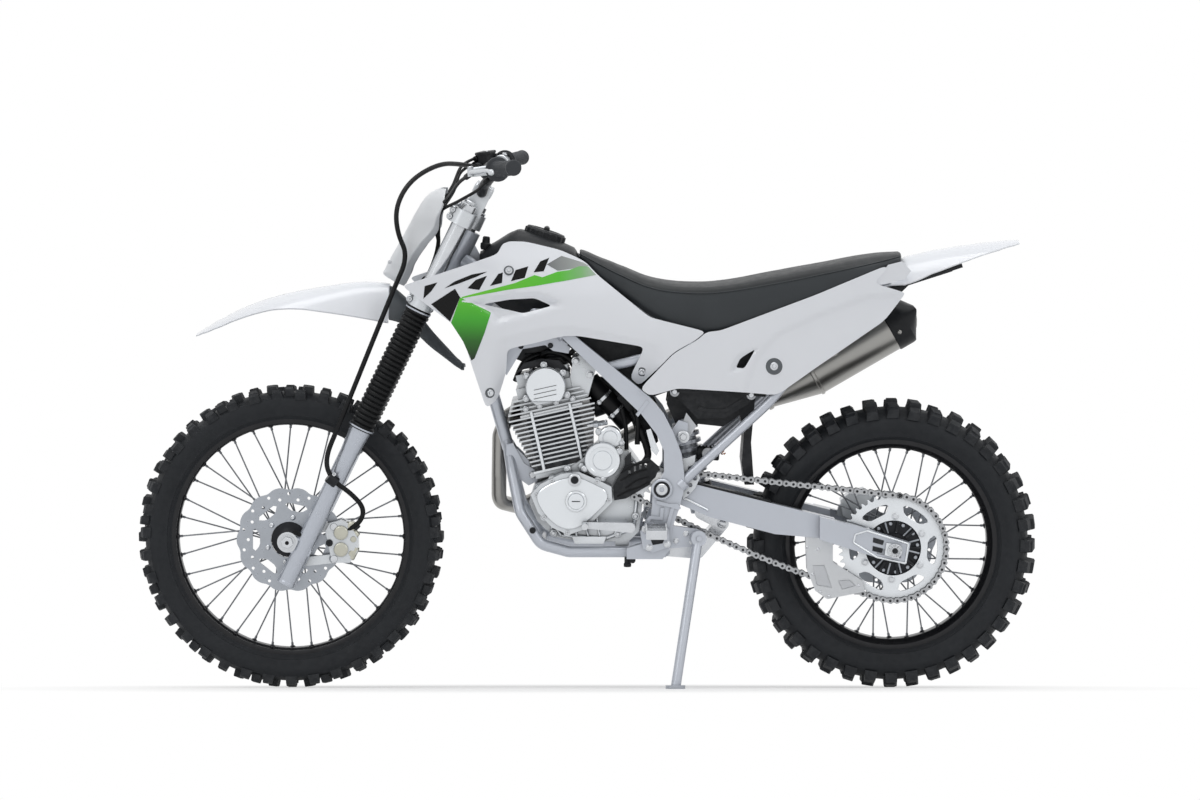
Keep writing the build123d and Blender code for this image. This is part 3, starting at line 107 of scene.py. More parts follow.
class Nodes:
    """Short names for building the node tree of a material or of the world."""

    def __init__(self, owner):
        owner.use_nodes = True
        self.owner, self.tree = owner, owner.node_tree
        self.shader = self.tree.nodes.get("Principled BSDF")
        self.coordinates = self.add("ShaderNodeTexCoord").outputs
        self.place = self.coordinates["Object"]

    def add(self, kind, **inputs):
        """A new node, with its inputs by name."""
        node = self.tree.nodes.new(kind)
        for key, value in inputs.items():
            self.put(node.inputs[key.replace("_", " ")], value)
        return node

    def put(self, socket, value):
        """Links or sets an input."""
        if isinstance(value, bpy.types.NodeSocket):
            self.tree.links.new(value, socket)
        else:
            socket.default_value = value

    def surface(self, **inputs):
        """Links or sets the shader's own inputs."""
        for key, value in inputs.items():
            self.put(self.shader.inputs[key.replace("_", " ")], value)

    def stretched(self, scale):
        return self.add("ShaderNodeMapping", Scale=scale, Vector=self.place).outputs[0]

    def noise(self, scale, detail=3.0, rough=0.55, stretch=None):
        where = self.stretched(stretch) if stretch else self.place
        return self.add("ShaderNodeTexNoise", Vector=where, Scale=scale, Detail=detail,
                        Roughness=rough).outputs[0]

    def math(self, kind, a, b=0.0, clamp=False):
        node = self.add("ShaderNodeMath")
        node.operation = kind
        node.use_clamp = clamp
        self.put(node.inputs[0], a)
        self.put(node.inputs[1], b)
        return node.outputs[0]

    def between(self, value, low, high, out_low=0.0, out_high=1.0):
        node = self.add("ShaderNodeMapRange")
        for i, v in enumerate((value, low, high, out_low, out_high)):
            self.put(node.inputs[i], v)
        return node.outputs[0]

    def mix(self, share, a, b):
        node = self.add("ShaderNodeMix")
        node.data_type = "RGBA"
        self.put(node.inputs[0], share)
        self.put(node.inputs[6], a if isinstance(a, bpy.types.NodeSocket) else (*a, 1))
        self.put(node.inputs[7], b if isinstance(b, bpy.types.NodeSocket) else (*b, 1))
        return node.outputs[2]

    def seen(self):
        """1 for the rays that show the plain background: the camera's own, mirrored and bent ones."""
        rays = self.add("ShaderNodeLightPath").outputs
        mirrored = self.math("MAXIMUM", rays["Is Glossy Ray"], rays["Is Transmission Ray"])
        return self.math("MAXIMUM", mirrored, rays["Is Camera Ray"])


def finish(name, colour, rough, metal=0.0, vary=0.08, blotch=9.0, grain=None, wear=0.0, coat=0.0, sheen=0.0,
           brushed=None, rough_vary=0.08, specular=0.5, painted_corner_shade=0.0):
    """A material: its colour varies in soft blotches, its roughness too, and a fine grain breaks the surface.

    grain is (scale, depth in mm); brushed stretches the grain along an axis; wear lightens the edges; the
    last argument paints shade into the colour of corners and gaps, darkening it there by ambient occlusion.
    """
    n = Nodes(bpy.data.materials.new(name))
    base = linear(colour)
    tint = n.mix(n.between(n.noise(blotch, 4), 0.35, 0.68), base, tuple(c * (1 - 2.5 * vary) for c in base))
    if wear:
        edge = n.between(n.add("ShaderNodeNewGeometry").outputs["Pointiness"], 0.52, 0.62)
        edge = n.math("MULTIPLY", edge, n.between(n.noise(60, 3), 0.4, 0.6))
        tint = n.mix(n.math("MULTIPLY", edge, wear), tint, tuple(min(1, c * 1.6 + 0.12) for c in base))
    # painted shade: ambient occlusion darkens the colour in corners and gaps, where shade falls
    if painted_corner_shade:
        open_air = n.add("ShaderNodeAmbientOcclusion", Distance=0.03)
        open_air.samples = 4
        painted_shade_share = n.between(open_air.outputs["AO"], 0.2, 0.85, painted_corner_shade, 0.0)
        tint = n.mix(painted_shade_share, tint, tuple(c * 0.06 for c in base))
    roughness = n.between(n.noise(blotch * 5, 4), 0.3, 0.7, rough - rough_vary, rough + rough_vary)
    n.surface(Base_Color=tint, Roughness=roughness, Metallic=metal, Coat_Weight=coat, Coat_Roughness=0.08,
              Sheen_Weight=sheen, Specular_IOR_Level=specular)
    if grain:
        scale, depth = grain
        bump = n.add("ShaderNodeBump", Height=n.noise(scale, 2, 0.6, brushed), Distance=depth * MM,
                     Strength=1.0)
        n.surface(Normal=bump.outputs[0])
    return n.owner


WHITE = finish("white_plastic_gloss", "eaedf2", 0.22, vary=0.008, blotch=4, grain=(900, 0.008), coat=0.4,
               rough_vary=0.02)
WHITE_SATIN = finish("white_plastic_satin", "e4e7ea", 0.36, vary=0.01, blotch=4, grain=(1400, 0.015),
                     rough_vary=0.03)
BLACK_PLASTIC = finish("black_plastic_moulded", "212326", 0.45, vary=0.05, grain=(1600, 0.04), wear=0.1,
                       specular=0.22)
GREY_PLASTIC = finish("grey_plastic_matt", "5b6064", 0.5, vary=0.04, grain=(1600, 0.04))
LIGHT_GREY = finish("grey_plastic_light", "d5d8dc", 0.4, vary=0.02, grain=(1600, 0.03), rough_vary=0.03)
RUBBER = finish("tyre_rubber_dark", "202327", 0.6, vary=0.08, blotch=14, grain=(1200, 0.06), wear=0.1,
                specular=0.3)
RUBBER_SOFT = finish("rubber_soft_black", "111214", 0.45, vary=0.05, grain=(1300, 0.03), specular=0.2)
FRAME_PAINT = finish("frame_silver_paint", "c6cbd4", 0.3, metal=0.35, vary=0.012, blotch=5,
                     grain=(900, 0.01), coat=0.3, rough_vary=0.02, painted_corner_shade=0.6)
ALLOY = finish("alloy_cast_bright", "d2d6da", 0.3, metal=0.75, vary=0.015, blotch=22, grain=(1200, 0.018),
               rough_vary=0.03, painted_corner_shade=0.9)
ALLOY_POLISHED = finish("alloy_polished", "e4e8ec", 0.16, metal=0.75, vary=0.01, grain=(500, 0.006),
                        rough_vary=0.02, painted_corner_shade=0.9)
ALLOY_SATIN = finish("fork_alloy_satin", "bcc1ca", 0.26, metal=0.6, vary=0.012, blotch=7, grain=(700, 0.012),
                     brushed=(1, 1, 0.08), rough_vary=0.02)
STEEL = finish("steel_bright_plated", "d2d5d9", 0.24, metal=0.9, vary=0.03, blotch=40, grain=(800, 0.015),
               rough_vary=0.04, painted_corner_shade=0.5)
DISC_STEEL = finish("disc_steel_ground", "aeb3ba", 0.3, metal=0.6, vary=0.03, blotch=30, grain=(1600, 0.02),
                    rough_vary=0.03)
CHAIN_STEEL = finish("chain_steel_oiled", "b3b5b8", 0.3, metal=0.8, vary=0.05, blotch=60, grain=(900, 0.02),
                     painted_corner_shade=0.8)
NICKEL = finish("nickel_warm_plated", "c4c3b6", 0.3, metal=0.75, vary=0.03, blotch=50, grain=(900, 0.015),
                rough_vary=0.03)
EXHAUST = finish("exhaust_steel_brushed", "a09f9c", 0.32, metal=0.9, vary=0.008, blotch=4, grain=(400, 0.003),
                 rough_vary=0.02)
DARK_METAL = finish("dark_anodised_metal", "222428", 0.38, metal=0.4, vary=0.06, grain=(900, 0.02),
                    wear=0.15, specular=0.3)
BLACK_RIM = finish("rim_black_anodised", "15161a", 0.3, metal=0.35, vary=0.04, grain=(600, 0.008), wear=0.1,
                   rough_vary=0.03)
SPOKE_STEEL = finish("spoke_steel_dark", "74777c", 0.35, metal=0.7, vary=0.03, blotch=20)
COPPER = finish("brass_warm", "b0714a", 0.35, metal=0.8, vary=0.06, grain=(900, 0.02))
VINYL = finish("seat_vinyl_fine", "2b2e30", 0.5, vary=0.07, blotch=12, grain=(1500, 0.12), sheen=0.1,
               specular=0.3)
VINYL_SIDE = finish("seat_vinyl_smooth", "34383b", 0.42, vary=0.05, blotch=10, grain=(1100, 0.06),
                    sheen=0.05, specular=0.3)
GRIP_RUBBER = finish("grip_rubber_grey", "3a3d41", 0.55, vary=0.04, grain=(900, 0.05), specular=0.3)


def fade(name, stops, axis, rough=0.25):
    """A printed film whose colour runs through the stops, each (place in mm, colour), along an axis."""
    n = Nodes(bpy.data.materials.new(name))
    parts = n.add("ShaderNodeSeparateXYZ", Vector=n.place)
    place = n.math("ADD", parts.outputs["XYZ".index(axis)],
                   n.between(n.noise(30, 2), 0.0, 1.0, -0.001, 0.001))
    tint = linear(stops[0][1])
    for (a, _), (b, colour) in zip(stops, stops[1:]):
        tint = n.mix(n.between(place, a * MM, b * MM), tint, linear(colour))
    n.surface(Base_Color=tint, Roughness=n.between(n.noise(40, 3), 0.3, 0.7, rough - 0.02, rough + 0.02),
              Specular_IOR_Level=0.3, Coat_Weight=0.1, Coat_Roughness=0.08)
    return n.owner


PRINT_BLACK = finish("print_black", "070708", 0.28, vary=0.03, blotch=20, rough_vary=0.02, specular=0.2)
PRINT_GREEN = fade("print_green_down", [(760, "1d2b1a"), (800, "2f6b25"), (850, "49b233"), (895, "62c938")],
                   "Z")
PRINT_BAND = fade("print_green_back", [(-250, "6ecb3a"), (-70, "5cc23a"), (-20, "83b97a"), (12, "aebbb0")],
                  "X")
PRINT_GREY = fade("print_grey_back", [(-97, "77797b"), (-30, "a2a7a4"), (5, "b9c0ba")], "X")


# ---------------------------------------------------------------- making pieces
def linked(name, data):
    """A new object in the scene."""
    obj = bpy.data.objects.new(name, data)
    bpy.context.scene.collection.objects.link(obj)
    return obj


def piece(name, mesh, material, body, smooth=40, park=True):
    """Links a mesh drawn in the upright frame as a piece that rides on a body."""
    obj = linked(name, mesh)
    mesh.materials.clear()
    mesh.materials.append(material)
    mesh.shade_smooth()
    mesh.set_sharp_from_angle(angle=radians(smooth))
    if park:
        obj.matrix_world = PARK
    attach(obj, body)
    return obj


def pieces(body, *rows):
    """A piece from each lump: its rows are (name, lump, material, slot, smooth); the slot is not used."""
    for name, lump, material, slot, smooth in rows:
        piece(name, lump.mesh(), material, body, smooth)


def parked(mesh):
    """The mesh leaned onto the stand, for a wide piece whose own box must stay tight."""
    mesh.transform(PARK)
    return mesh


def mesh_of(verts, faces):
    """A mesh from points in millimetres."""
    mesh = bpy.data.meshes.new("mesh")
    mesh.from_pydata([tuple(Vector(v) * MM) for v in verts], [], faces)
    bm = bmesh.new()
    bm.from_mesh(mesh)
    bmesh.ops.recalc_face_normals(bm, faces=bm.faces)
    bm.to_mesh(mesh)
    bm.free()
    return mesh


class Lump:
    """Points and faces gathered from many small forms, which become one mesh."""

    def __init__(self):
        self.verts, self.faces = [], []

    def add(self, verts, faces):
        base = len(self.verts)
        self.verts += [tuple(v) for v in verts]
        self.faces += [tuple(base + i for i in f) for f in faces]

    def mesh(self):
        return mesh_of(self.verts, self.faces)

    def grid(self, rows, close_rows=False, close_cols=False, caps=False):
        """Quads between rows of points; caps fill the first and last rows."""
        n, m = len(rows), len(rows[0])
        verts = [p for row in rows for p in row]
        faces = []
        for i in range(n if close_rows else n - 1):
            for j in range(m if close_cols else m - 1):
                a, b = i * m + j, i * m + (j + 1) % m
                c, d = ((i + 1) % n) * m + (j + 1) % m, ((i + 1) % n) * m + j
                faces.append((a, b, c, d))
        if caps:
            faces.append(tuple(range(m - 1, -1, -1)))
            faces.append(tuple((n - 1) * m + j for j in range(m)))
        self.add(verts, faces)

    def turned(self, profile, origin, axis, segments=32, closed=False):
        """A form of revolution: profile is (along, radius) from origin along axis."""
        origin, axis = Vector(origin), Vector(axis).normalized()
        side = axis.orthogonal().normalized()
        third = axis.cross(side)
        rows = [[origin + axis * along + (side * cos(t) + third * sin(t)) * r for t in turns(segments)]
                for along, r in profile]
        self.grid(rows, close_rows=closed, close_cols=True, caps=not closed)

    def boss(self, at, axis, r, low, high, segments=16, lip=1.0):
        """A round or six-sided boss with a chamfered end."""
        self.turned([(low, r), (high, r), (high + 1, r - lip)], at, axis, segments)

    def ring(self, at, axis, inner, outer, low, high, segments=32):
        """A plain ring of square section."""
        self.turned([(low, outer), (high, outer), (high, inner), (low, inner)], at, axis, segments,
                    closed=True)

    def clamp(self, at, axis, inner, outer, half, segments=32, chamfer=1.5):
        """A clamp round a tube, its outer edges chamfered."""
        self.turned([(-half, inner), (-half, outer - chamfer), (chamfer - half, outer),
                     (half - chamfer, outer), (half, outer - chamfer), (half, inner)], at, axis, segments,
                     closed=True)

    def slab(self, outline, y_a, y_b):
        """A plate with straight sides across the machine; outline is (x, z) corners."""
        self.grid([[Vector((x, y, z)) for x, z in outline] for y in sorted((y_a, y_b))], close_cols=True,
                  caps=True)

    def pair(self, outline, y_a, y_b):
        """A slab on each side of the machine."""
        for side in (-1, 1):
            self.slab(outline, side * y_a, side * y_b)

    def rod(self, a, b, r, segments=10, chamfer=0.0):
        a, b = Vector(a), Vector(b)
        length = (b - a).length
        profile = [(0, r), (length, r)]
        if chamfer:
            profile = [(0, r - chamfer), (chamfer, r), (length - chamfer, r), (length, r - chamfer)]
        self.turned(profile, a, b - a, segments)

    def bolt(self, at, axis, r=6.0, h=5.0, kind="hex"):
        """A fastener's head: a flanged hexagon, a socket cap or a low dome."""
        at, axis = Vector(at), Vector(axis).normalized()
        if kind == "hex":
            self.turned([(-1, r * 1.3), (0.8, r * 1.3), (1.3, r * 1.12)], at, axis, 20)
            self.turned([(0, r), (h * 0.85, r), (h, r * 0.82)], at, axis, 6)
        elif kind == "cap":
            self.turned([(-1, r), (h * 0.85, r), (h, r * 0.9), (h, r * 0.5), (h * 0.4, r * 0.45)], at, axis,
                        18)
        else:
            self.turned([(-1, r), (h * 0.3, r), (h * 0.75, r * 0.8), (h, r * 0.45), (h * 0.85, r * 0.35)],
                        at, axis, 18)


def hermite(points, steps):
    """Points on a smooth line through the given ones, steps of them on each run."""
    points = [Vector(p) for p in points]
    made = []
    run = [points[0], *points, points[-1]]
    for before, a, b, after in zip(run, run[1:], run[2:], run[3:]):
        for k in range(steps):
            t = k / steps
            bend, twist = 2 * before - 5 * a + 4 * b - after, 3 * (a - b) + after - before
            made.append(a + 0.5 * t * (b - before + t * (bend + t * twist)))
    return made + [points[-1]]


def sweep(lump, path, r, segments=14, radii=None):
    """A round tube along a line of points, with even twist."""
    path = [Vector(p) for p in path]
    rows = []
    side = None
    for i, p in enumerate(path):
        ahead = (path[min(i + 1, len(path) - 1)] - path[max(i - 1, 0)]).normalized()
        side = ahead.orthogonal() if side is None else side - ahead * side.dot(ahead)
        side.normalize()
        third = ahead.cross(side)
        radius = radii[i] if radii else r
        rows.append([p + (side * cos(t) + third * sin(t)) * radius for t in turns(segments)])
    lump.grid(rows, close_cols=True, caps=True)


def plate_mesh(loops, y_low, y_high, bevel=0.0):
    """A flat plate across the machine; its loops are (x, z) outlines, the inner ones holes."""
    curve = bpy.data.curves.new("plate", "CURVE")
    curve.dimensions, curve.fill_mode = "2D", "BOTH"
    curve.extrude = (y_high - y_low) / 2 * MM - bevel * MM
    curve.bevel_depth, curve.offset, curve.bevel_resolution = bevel * MM, -bevel * MM, 1
    for loop in loops:
        spline = curve.splines.new("POLY")
        spline.points.add(len(loop) - 1)
        for point, (x, z) in zip(spline.points, loop):
            point.co = (x * MM, z * MM, 0, 1)
        spline.use_cyclic_u = True
    holder = bpy.data.objects.new("plate", curve)
    mesh = bpy.data.meshes.new_from_object(holder)
    bpy.data.objects.remove(holder)
    mesh.transform(Matrix.Translation((0, (y_low + y_high) / 2 * MM, 0)) @ Matrix.Rotation(pi / 2, 4, "X"))
    return mesh


def circle(x, z, r, count=32):
    return [(x + r * cos(t), z + r * sin(t)) for t in turns(count)]


def dress(material, *nodes):
    """Gives CAD nodes a finished material."""
    for name in nodes:
        obj = frame["nodes"][name]
        for held in obj.material_slots:
            held.material = material


# ---------------------------------------------------------------- camera, floor, light
VIEW_CENTRE = Vector((20.5, 0, 654))
VIEW_AWAY, VIEW_RISE, VIEW_WIDTH_M = 8000, radians(5.4), 2.706
SENSOR = 36
target = PARK @ (VIEW_CENTRE * MM)
eye = PARK @ ((VIEW_CENTRE + Vector((0, -VIEW_AWAY, VIEW_AWAY * tan(VIEW_RISE)))) * MM)
camera = linked("camera", bpy.data.cameras.new("camera"))
camera.location = eye
camera.rotation_euler = (target - eye).to_track_quat("-Z", "Y").to_euler()
camera.data.sensor_width = SENSOR
camera.data.lens = SENSOR * (target - eye).length / VIEW_WIDTH_M
camera.data.clip_end = 200
bpy.context.scene.camera = camera
bpy.context.scene.view_settings.view_transform = "Standard"


def floor():
    """A pale floor that takes the shadow near the machine and runs out to plain white."""
    mesh = bpy.data.meshes.new("floor")
    mesh.from_pydata([(-60, -12, 0), (60, -12, 0), (60, 90, 0), (-60, 90, 0)], [], [(0, 1, 2, 3)])
    obj = linked("floor", mesh)
    n = Nodes(bpy.data.materials.new("floor_pale"))
    pale = (0.93, 0.93, 0.93)
    tint = n.mix(n.between(n.noise(0.7), 0.3, 0.7), pale, tuple(c * 0.99 for c in pale))
    n.surface(Base_Color=tint, Roughness=0.9, Specular_IOR_Level=0.1)
    away = n.add("ShaderNodeVectorMath")
    away.operation = "LENGTH"
    n.put(away.inputs[0], n.stretched((0.8, 1.9, 0)))
    share = n.math("MULTIPLY", n.between(away.outputs["Value"], 0.55, 1.15, 0.45, 1.0), n.seen())
    white = n.add("ShaderNodeEmission", Color=(1, 1, 1, 1), Strength=1.0)
    blend = n.add("ShaderNodeMixShader", Fac=share)
    n.put(blend.inputs[1], n.shader.outputs[0])
    n.put(blend.inputs[2], white.outputs[0])
    n.put(n.tree.nodes["Material Output"].inputs[0], blend.outputs[0])
    mesh.materials.append(n.owner)


def studio():
    """A world that lights as a dim room does and shows as plain white."""
    world = bpy.context.scene.world = bpy.data.worlds.new("studio")
    n = Nodes(world)
    heading = n.add("ShaderNodeSeparateXYZ", Vector=n.coordinates["Generated"])
    height = n.between(heading.outputs["Z"], -1.0, 1.0)
    # how bright the room is at each height, from below to overhead
    dome = n.add("ShaderNodeValToRGB", Fac=height)
    for place, level in ((0.0, 0.28), (0.5, 0.34), (0.58, 0.26), (0.72, 0.22), (0.86, 0.45), (1.0, 0.62)):
        stop = dome.color_ramp.elements.new(place) if 0 < place < 1 else dome.color_ramp.elements[int(place)]
        stop.color = (level, level, level * 1.02, 1)
    background = n.tree.nodes["Background"]
    n.put(background.inputs["Color"], n.mix(n.seen(), dome.outputs["Color"], (1, 1, 1)))
    n.put(background.inputs["Strength"], 1.0)


def lamp(name, place, aim, size, power):
    """A rectangular lamp aimed at a point."""
    light = bpy.data.lights.new(name, "AREA")
    light.shape = "RECTANGLE"
    light.size, light.size_y = size
    light.energy = power
    obj = linked(name, light)
    obj.location = place
    obj.rotation_euler = (Vector(aim) - Vector(place)).to_track_quat("-Z", "Y").to_euler()


floor()
studio()
lamp("overhead", (0, -0.8, 4.2), (0, 0, 0.5), (5.0, 1.6), 66)
lamp("side_front", (-2.6, -4.2, 2.6), (0, 0, 0.6), (2.2, 1.4), 23)
lamp("side_rear", (3.0, -3.6, 2.0), (0.2, 0, 0.6), (1.8, 1.2), 14)


# ---------------------------------------------------------------- wheels
def carcass(lump, centre, tip_r, half, rim_r, crown_r, lug, segments=120):
    """The tyre without its lugs: beads, ribbed sidewalls and the tread between the lugs."""
    shoulder = tip_r - (crown_r - sqrt(crown_r ** 2 - half ** 2))
    base = shoulder - lug
    bead = rim_r - 8
    wall = [
        (half * 0.50, bead), (half * 0.60, rim_r + 1), (half * 0.68, rim_r + 4), (half * 0.70, rim_r + 6.5),
        (half * 0.76, rim_r + 7), (half * 0.80, rim_r + 13),
    ]
    for share in (0.25, 0.45, 0.62, 0.8):
        wall.append((half * (0.80 + 0.14 * sin(share * pi * 0.62)), rim_r + 13 + (base - rim_r - 16) * share))
    wall += [(half * 0.925, base - 3), (half * 0.90, base + 1)]
    for share in (0.75, 0.5, 0.25):
        y = half * 0.92 * share
        wall.append((y, tip_r - lug - (crown_r - sqrt(crown_r ** 2 - y ** 2))))
    wall.append((0, tip_r - lug))
    profile = [(-y, r) for y, r in wall] + [(y, r) for y, r in reversed(wall[:-1])]
    rows = [[Vector((*polar(centre, r, t), y)).xzy for t in turns(segments)] for y, r in profile]
    lump.grid(rows, close_rows=True, close_cols=True)


def lug_block(lump, centre, angle, y, wide, long, top_r, foot_r, tilt, taper=0.86, skew=0.0):
    """One tread block: a tapered block with chamfered top edges; tilt leans it out over the shoulder."""
    out = Vector((0, sin(tilt), 0)) + radial(angle) * cos(tilt)
    run = Vector((-sin(angle), 0, cos(angle)))
    side = out.cross(run)
    h = top_r - foot_r
    foot = centre + radial(angle) * foot_r + Vector((0, y, 0)) - out * 2.0
    rows = []
    for up, scale in ((0.0, 1.0 / taper), (h + 2 - 1.6, 1.0), (h + 2, 1.0 - 2.4 / max(wide, long))):
        across, along = side * (wide / 2 * scale), run * (long / 2 * scale)
        rows.append([foot + out * up + across * sx + along * sy + run * (skew * sx * long)
                     for sx, sy in ((-1, -1), (1, -1), (1, 1), (-1, 1))])
    lump.grid(rows, close_cols=True, caps=True)


def tread(lump, centre, tip_r, half, lug, rows, edge_rows, sizes):
    """Rows of centre and middle blocks in turn, and a ring of shoulder blocks on each side."""
    (cw, cl), (mw, ml), (ew, el) = sizes

    def top(y):
        return tip_r - (CROWN_R - sqrt(CROWN_R ** 2 - y ** 2))

    for k, angle in enumerate(turns(rows, -pi / 2)):
        odd = k % 2
        for side in (-1, 1):
            y = side * (cw * 0.62 if odd else half * 0.60)
            if k % 4 == 0:
                lug_block(lump, centre, angle, copysign(0.01, y), cw * 0.9, cl, top(0), top(0) - lug, 0.0)
            wide, long = (cw, cl) if odd else (mw, ml)
            lug_block(lump, centre, angle, y, wide, long, top(y), top(y) - lug, asin(y / CROWN_R) * 0.8,
                      skew=0.12 * side)
    for k, angle in enumerate(turns(edge_rows, -pi / 2)):
        share, wide = (0.985, ew) if k % 2 else (0.96, ew * 0.8)
        for side in (-1, 1):
            y = side * (half - ew * 0.52)
            lug_block(lump, centre, angle, y * share, wide, el, top(y), top(y) - lug * 1.05, side * 0.5)


def tyre(name, body, centre, tip_r, width, rim_r, lug, rows, edge_rows, sizes):
    """A knobbly tyre; sizes are (across, along) of its centre, middle and shoulder blocks."""
    lump = Lump()
    carcass(lump, centre, tip_r, width / 2, rim_r, CROWN_R, lug)
    tread(lump, centre, tip_r, width / 2, lug, rows, edge_rows, sizes)
    return piece(name, lump.mesh(), RUBBER, body, 35)


front_tread = tyre("front_tyre_lugs", "front_wheel", FRONT_AXLE, FRONT_TYRE_R, FRONT_TYRE_W, FRONT_RIM_R, 15,
                   52, 39, ((19, 19), (17, 18), (16, 22)))
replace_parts(front_tread, "front_tyre")
rear_tread = tyre("rear_tyre_lugs", "rear_wheel", REAR_AXLE, REAR_TYRE_R, REAR_TYRE_W, REAR_RIM_R, 18, 40, 40,
                  ((25, 24), (22, 24), (20, 24)))
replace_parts(rear_tread, "rear_tyre")

SPOKES, SPOKE_LEAD = 36, radians(60)


def lacing(centre, flange_r, flange_y, rim_r, rim_y):
    """Both ends of every spoke, and its angle at the rim: left and right, leading and trailing in turn."""
    ends = []
    for i, angle in enumerate(turns(SPOKES)):
        side = 1 if i % 2 else -1
        lead = 1 if i // 2 % 2 else -1
        x, z = polar(centre, flange_r, angle - lead * SPOKE_LEAD)
        a = Vector((x, side * (flange_y + 1.9 * lead), z))
        x, z = polar(centre, rim_r, angle)
        ends.append((a, Vector((x, side * rim_y, z)), angle))
    return ends


def rim(name, body, centre, rim_r, inner_r, width, ends):
    """A rolled alloy rim: two round flanges, a drop centre and a dimple at each spoke."""
    half = width / 2
    right = [
        (half * 0.45, inner_r + 4), (half - 3.2, rim_r - 9), (half - 3.2, rim_r - 2), (half - 2.6, rim_r),
        (half - 0.8, rim_r), (half, rim_r - 1.5), (half, rim_r - 10.5), (half - 1.2, rim_r - 12.5),
        (half * 0.62, inner_r + 4), (half * 0.5, inner_r + 0.6), (half * 0.4, inner_r),
    ]
    lump = Lump()
    lump.turned(right + [(-y, r) for y, r in reversed(right)], centre, RIGHT, 120, closed=True)
    for _, b, angle in ends:
        out = radial(angle)
        lump.turned([(0, 7.5), (2.2, 6.8), (4.4, 4.2)], centre + out * (inner_r + 2) + Vector((0, b.y, 0)),
                    -out, 10)
    return piece(name, lump.mesh(), BLACK_RIM, body, 40)


def spoke_set(name, body, ends):
    """Each spoke with its nipple at the rim and its head at the hub's flange."""
    lump = Lump()
    for a, b, _ in ends:
        run = (b - a).normalized()
        lump.rod(a - run * 1.5, b, 1.75, 8)
        lump.turned([(0, 1.9), (1, 3.0), (9, 3.0), (12, 2.6), (18, 2.4)], b - run * 13, run, 6)
        lump.turned([(0, 3.4), (1.5, 3.4), (3, 2.0)], a, Vector((0, copysign(1, a.y), 0)), 8)
    return piece(name, lump.mesh(), SPOKE_STEEL, body, 40)


def hub(name, body, centre, profile, web_count, web_y, web_reach, web_r):
    """The hub's shell, with ribs round one of its flanges."""
    lump = Lump()
    lump.turned(profile, centre, RIGHT, 56, closed=True)
    foot = centre + Vector((0, web_y, 0))
    for t in turns(web_count):
        lump.rod(foot + radial(t) * web_reach[0], foot + radial(t) * web_reach[1], web_r, 8)
    return piece(name, lump.mesh(), DARK_METAL, body, 38)


front_ends = lacing(FRONT_AXLE, 29, 30, 257, 8)
rear_ends = lacing(REAR_AXLE, 42, 32.5, 220, 10)
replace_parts(rim("front_rim_rolled", "front_wheel", FRONT_AXLE, FRONT_RIM_R, FRONT_RIM_INNER_R, FRONT_RIM_W,
                front_ends), "front_rim")
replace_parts(rim("rear_rim_rolled", "rear_wheel", REAR_AXLE, REAR_RIM_R, REAR_RIM_INNER_R, REAR_RIM_W,
                rear_ends), "rear_rim")
spoke_set("front_spokes", "front_wheel", front_ends)
spoke_set("rear_spokes", "rear_wheel", rear_ends)
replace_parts(hub("front_hub_shell", "front_wheel", FRONT_AXLE, [
    (-69, 8.6), (-69, 14), (-64, 20), (-60.2, 25.5), (-60, 40), (-52, 41), (-50, 39), (-42, 25), (-36, 22),
    (-34.5, 32), (-33, 33.5), (-27.5, 33.5), (-26, 32), (-24, 21), (-14, 18.5), (14, 18.5), (24, 21),
    (26, 32), (27.5, 33.5), (33, 33.5), (34.5, 32), (36, 22), (42, 17), (69, 14), (69, 8.6)], 6, -56,
    (24, 39), 3.0), "front_hub")
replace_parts(hub("rear_hub_shell", "rear_wheel", REAR_AXLE, [
    (-97.5, 10.1), (-97.5, 17.5), (-87, 18.5), (-86, 33), (-80, 34), (-79.6, 62), (-78, 65.5), (-74, 66),
    (-72, 62), (-60, 41), (-38, 34), (-36.5, 44), (-35, 46), (-30, 46), (-28, 44), (-26, 29), (26, 29),
    (28, 44), (30, 46), (35, 46), (36.5, 44), (40, 34), (60, 34), (64, 45), (69.8, 46), (70, 32), (76, 20),
    (97.5, 18), (97.5, 10.1)], 9, -83, (36, 60), 3.4), "rear_hub")

DISC_HALF_T = 1.9


def wave_disc(name, body, centre, y, outer, waves, hole_r, holes, slots, bolt_r, inner):
    """A brake disc with a scalloped edge, drilled holes, big windows and its bolts."""
    edge = []
    for t in turns(240):
        edge.append(polar(centre, outer - 5 * (0.5 - 0.5 * cos(waves * t)) ** 1.5, t))
    loops = [edge]
    for k, t in enumerate(turns(holes)):
        loops.append(circle(*polar(centre, hole_r + (6 if k % 2 else -6), t), 3.6, 14))
    low, high = slots
    wide = pi / (waves // 2)
    corners = [(low, 0.30), (low + 4, 0.52), (high - 4, 0.72), (high, 0.55)]
    for middle in turns(waves // 2, wide):
        window = [(r, middle - wide * share) for r, share in corners]
        window += [(r, middle + wide * share) for r, share in reversed(corners)]
        loops.append([polar(centre, r, t) for r, t in window])
    loops.append(circle(centre.x, centre.z, inner, 48))
    obj = piece(name, plate_mesh(loops, y - DISC_HALF_T, y + DISC_HALF_T, 0.35), DISC_STEEL, body,
                30)
    bolts = Lump()
    side = -1 if y < 0 else 1
    for t in turns(6, radians(20)):
        x, z = polar(centre, bolt_r, t)
        bolts.bolt((x, y + side * DISC_HALF_T, z), (0, side, 0), 6.2, 4, "dome")
    piece(name + "_bolts", bolts.mesh(), STEEL, body, 35)
    return obj


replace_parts(wave_disc("front_disc_wave", "front_wheel", FRONT_AXLE, -62, 118, 14, 98, 28, (66, 84), 51,
                      40.5), "front_disc")
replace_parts(wave_disc("rear_disc_wave", "rear_wheel", REAR_AXLE, 72, 110, 12, 92, 24, (60, 78), 52, 46.5),
            "rear_disc")


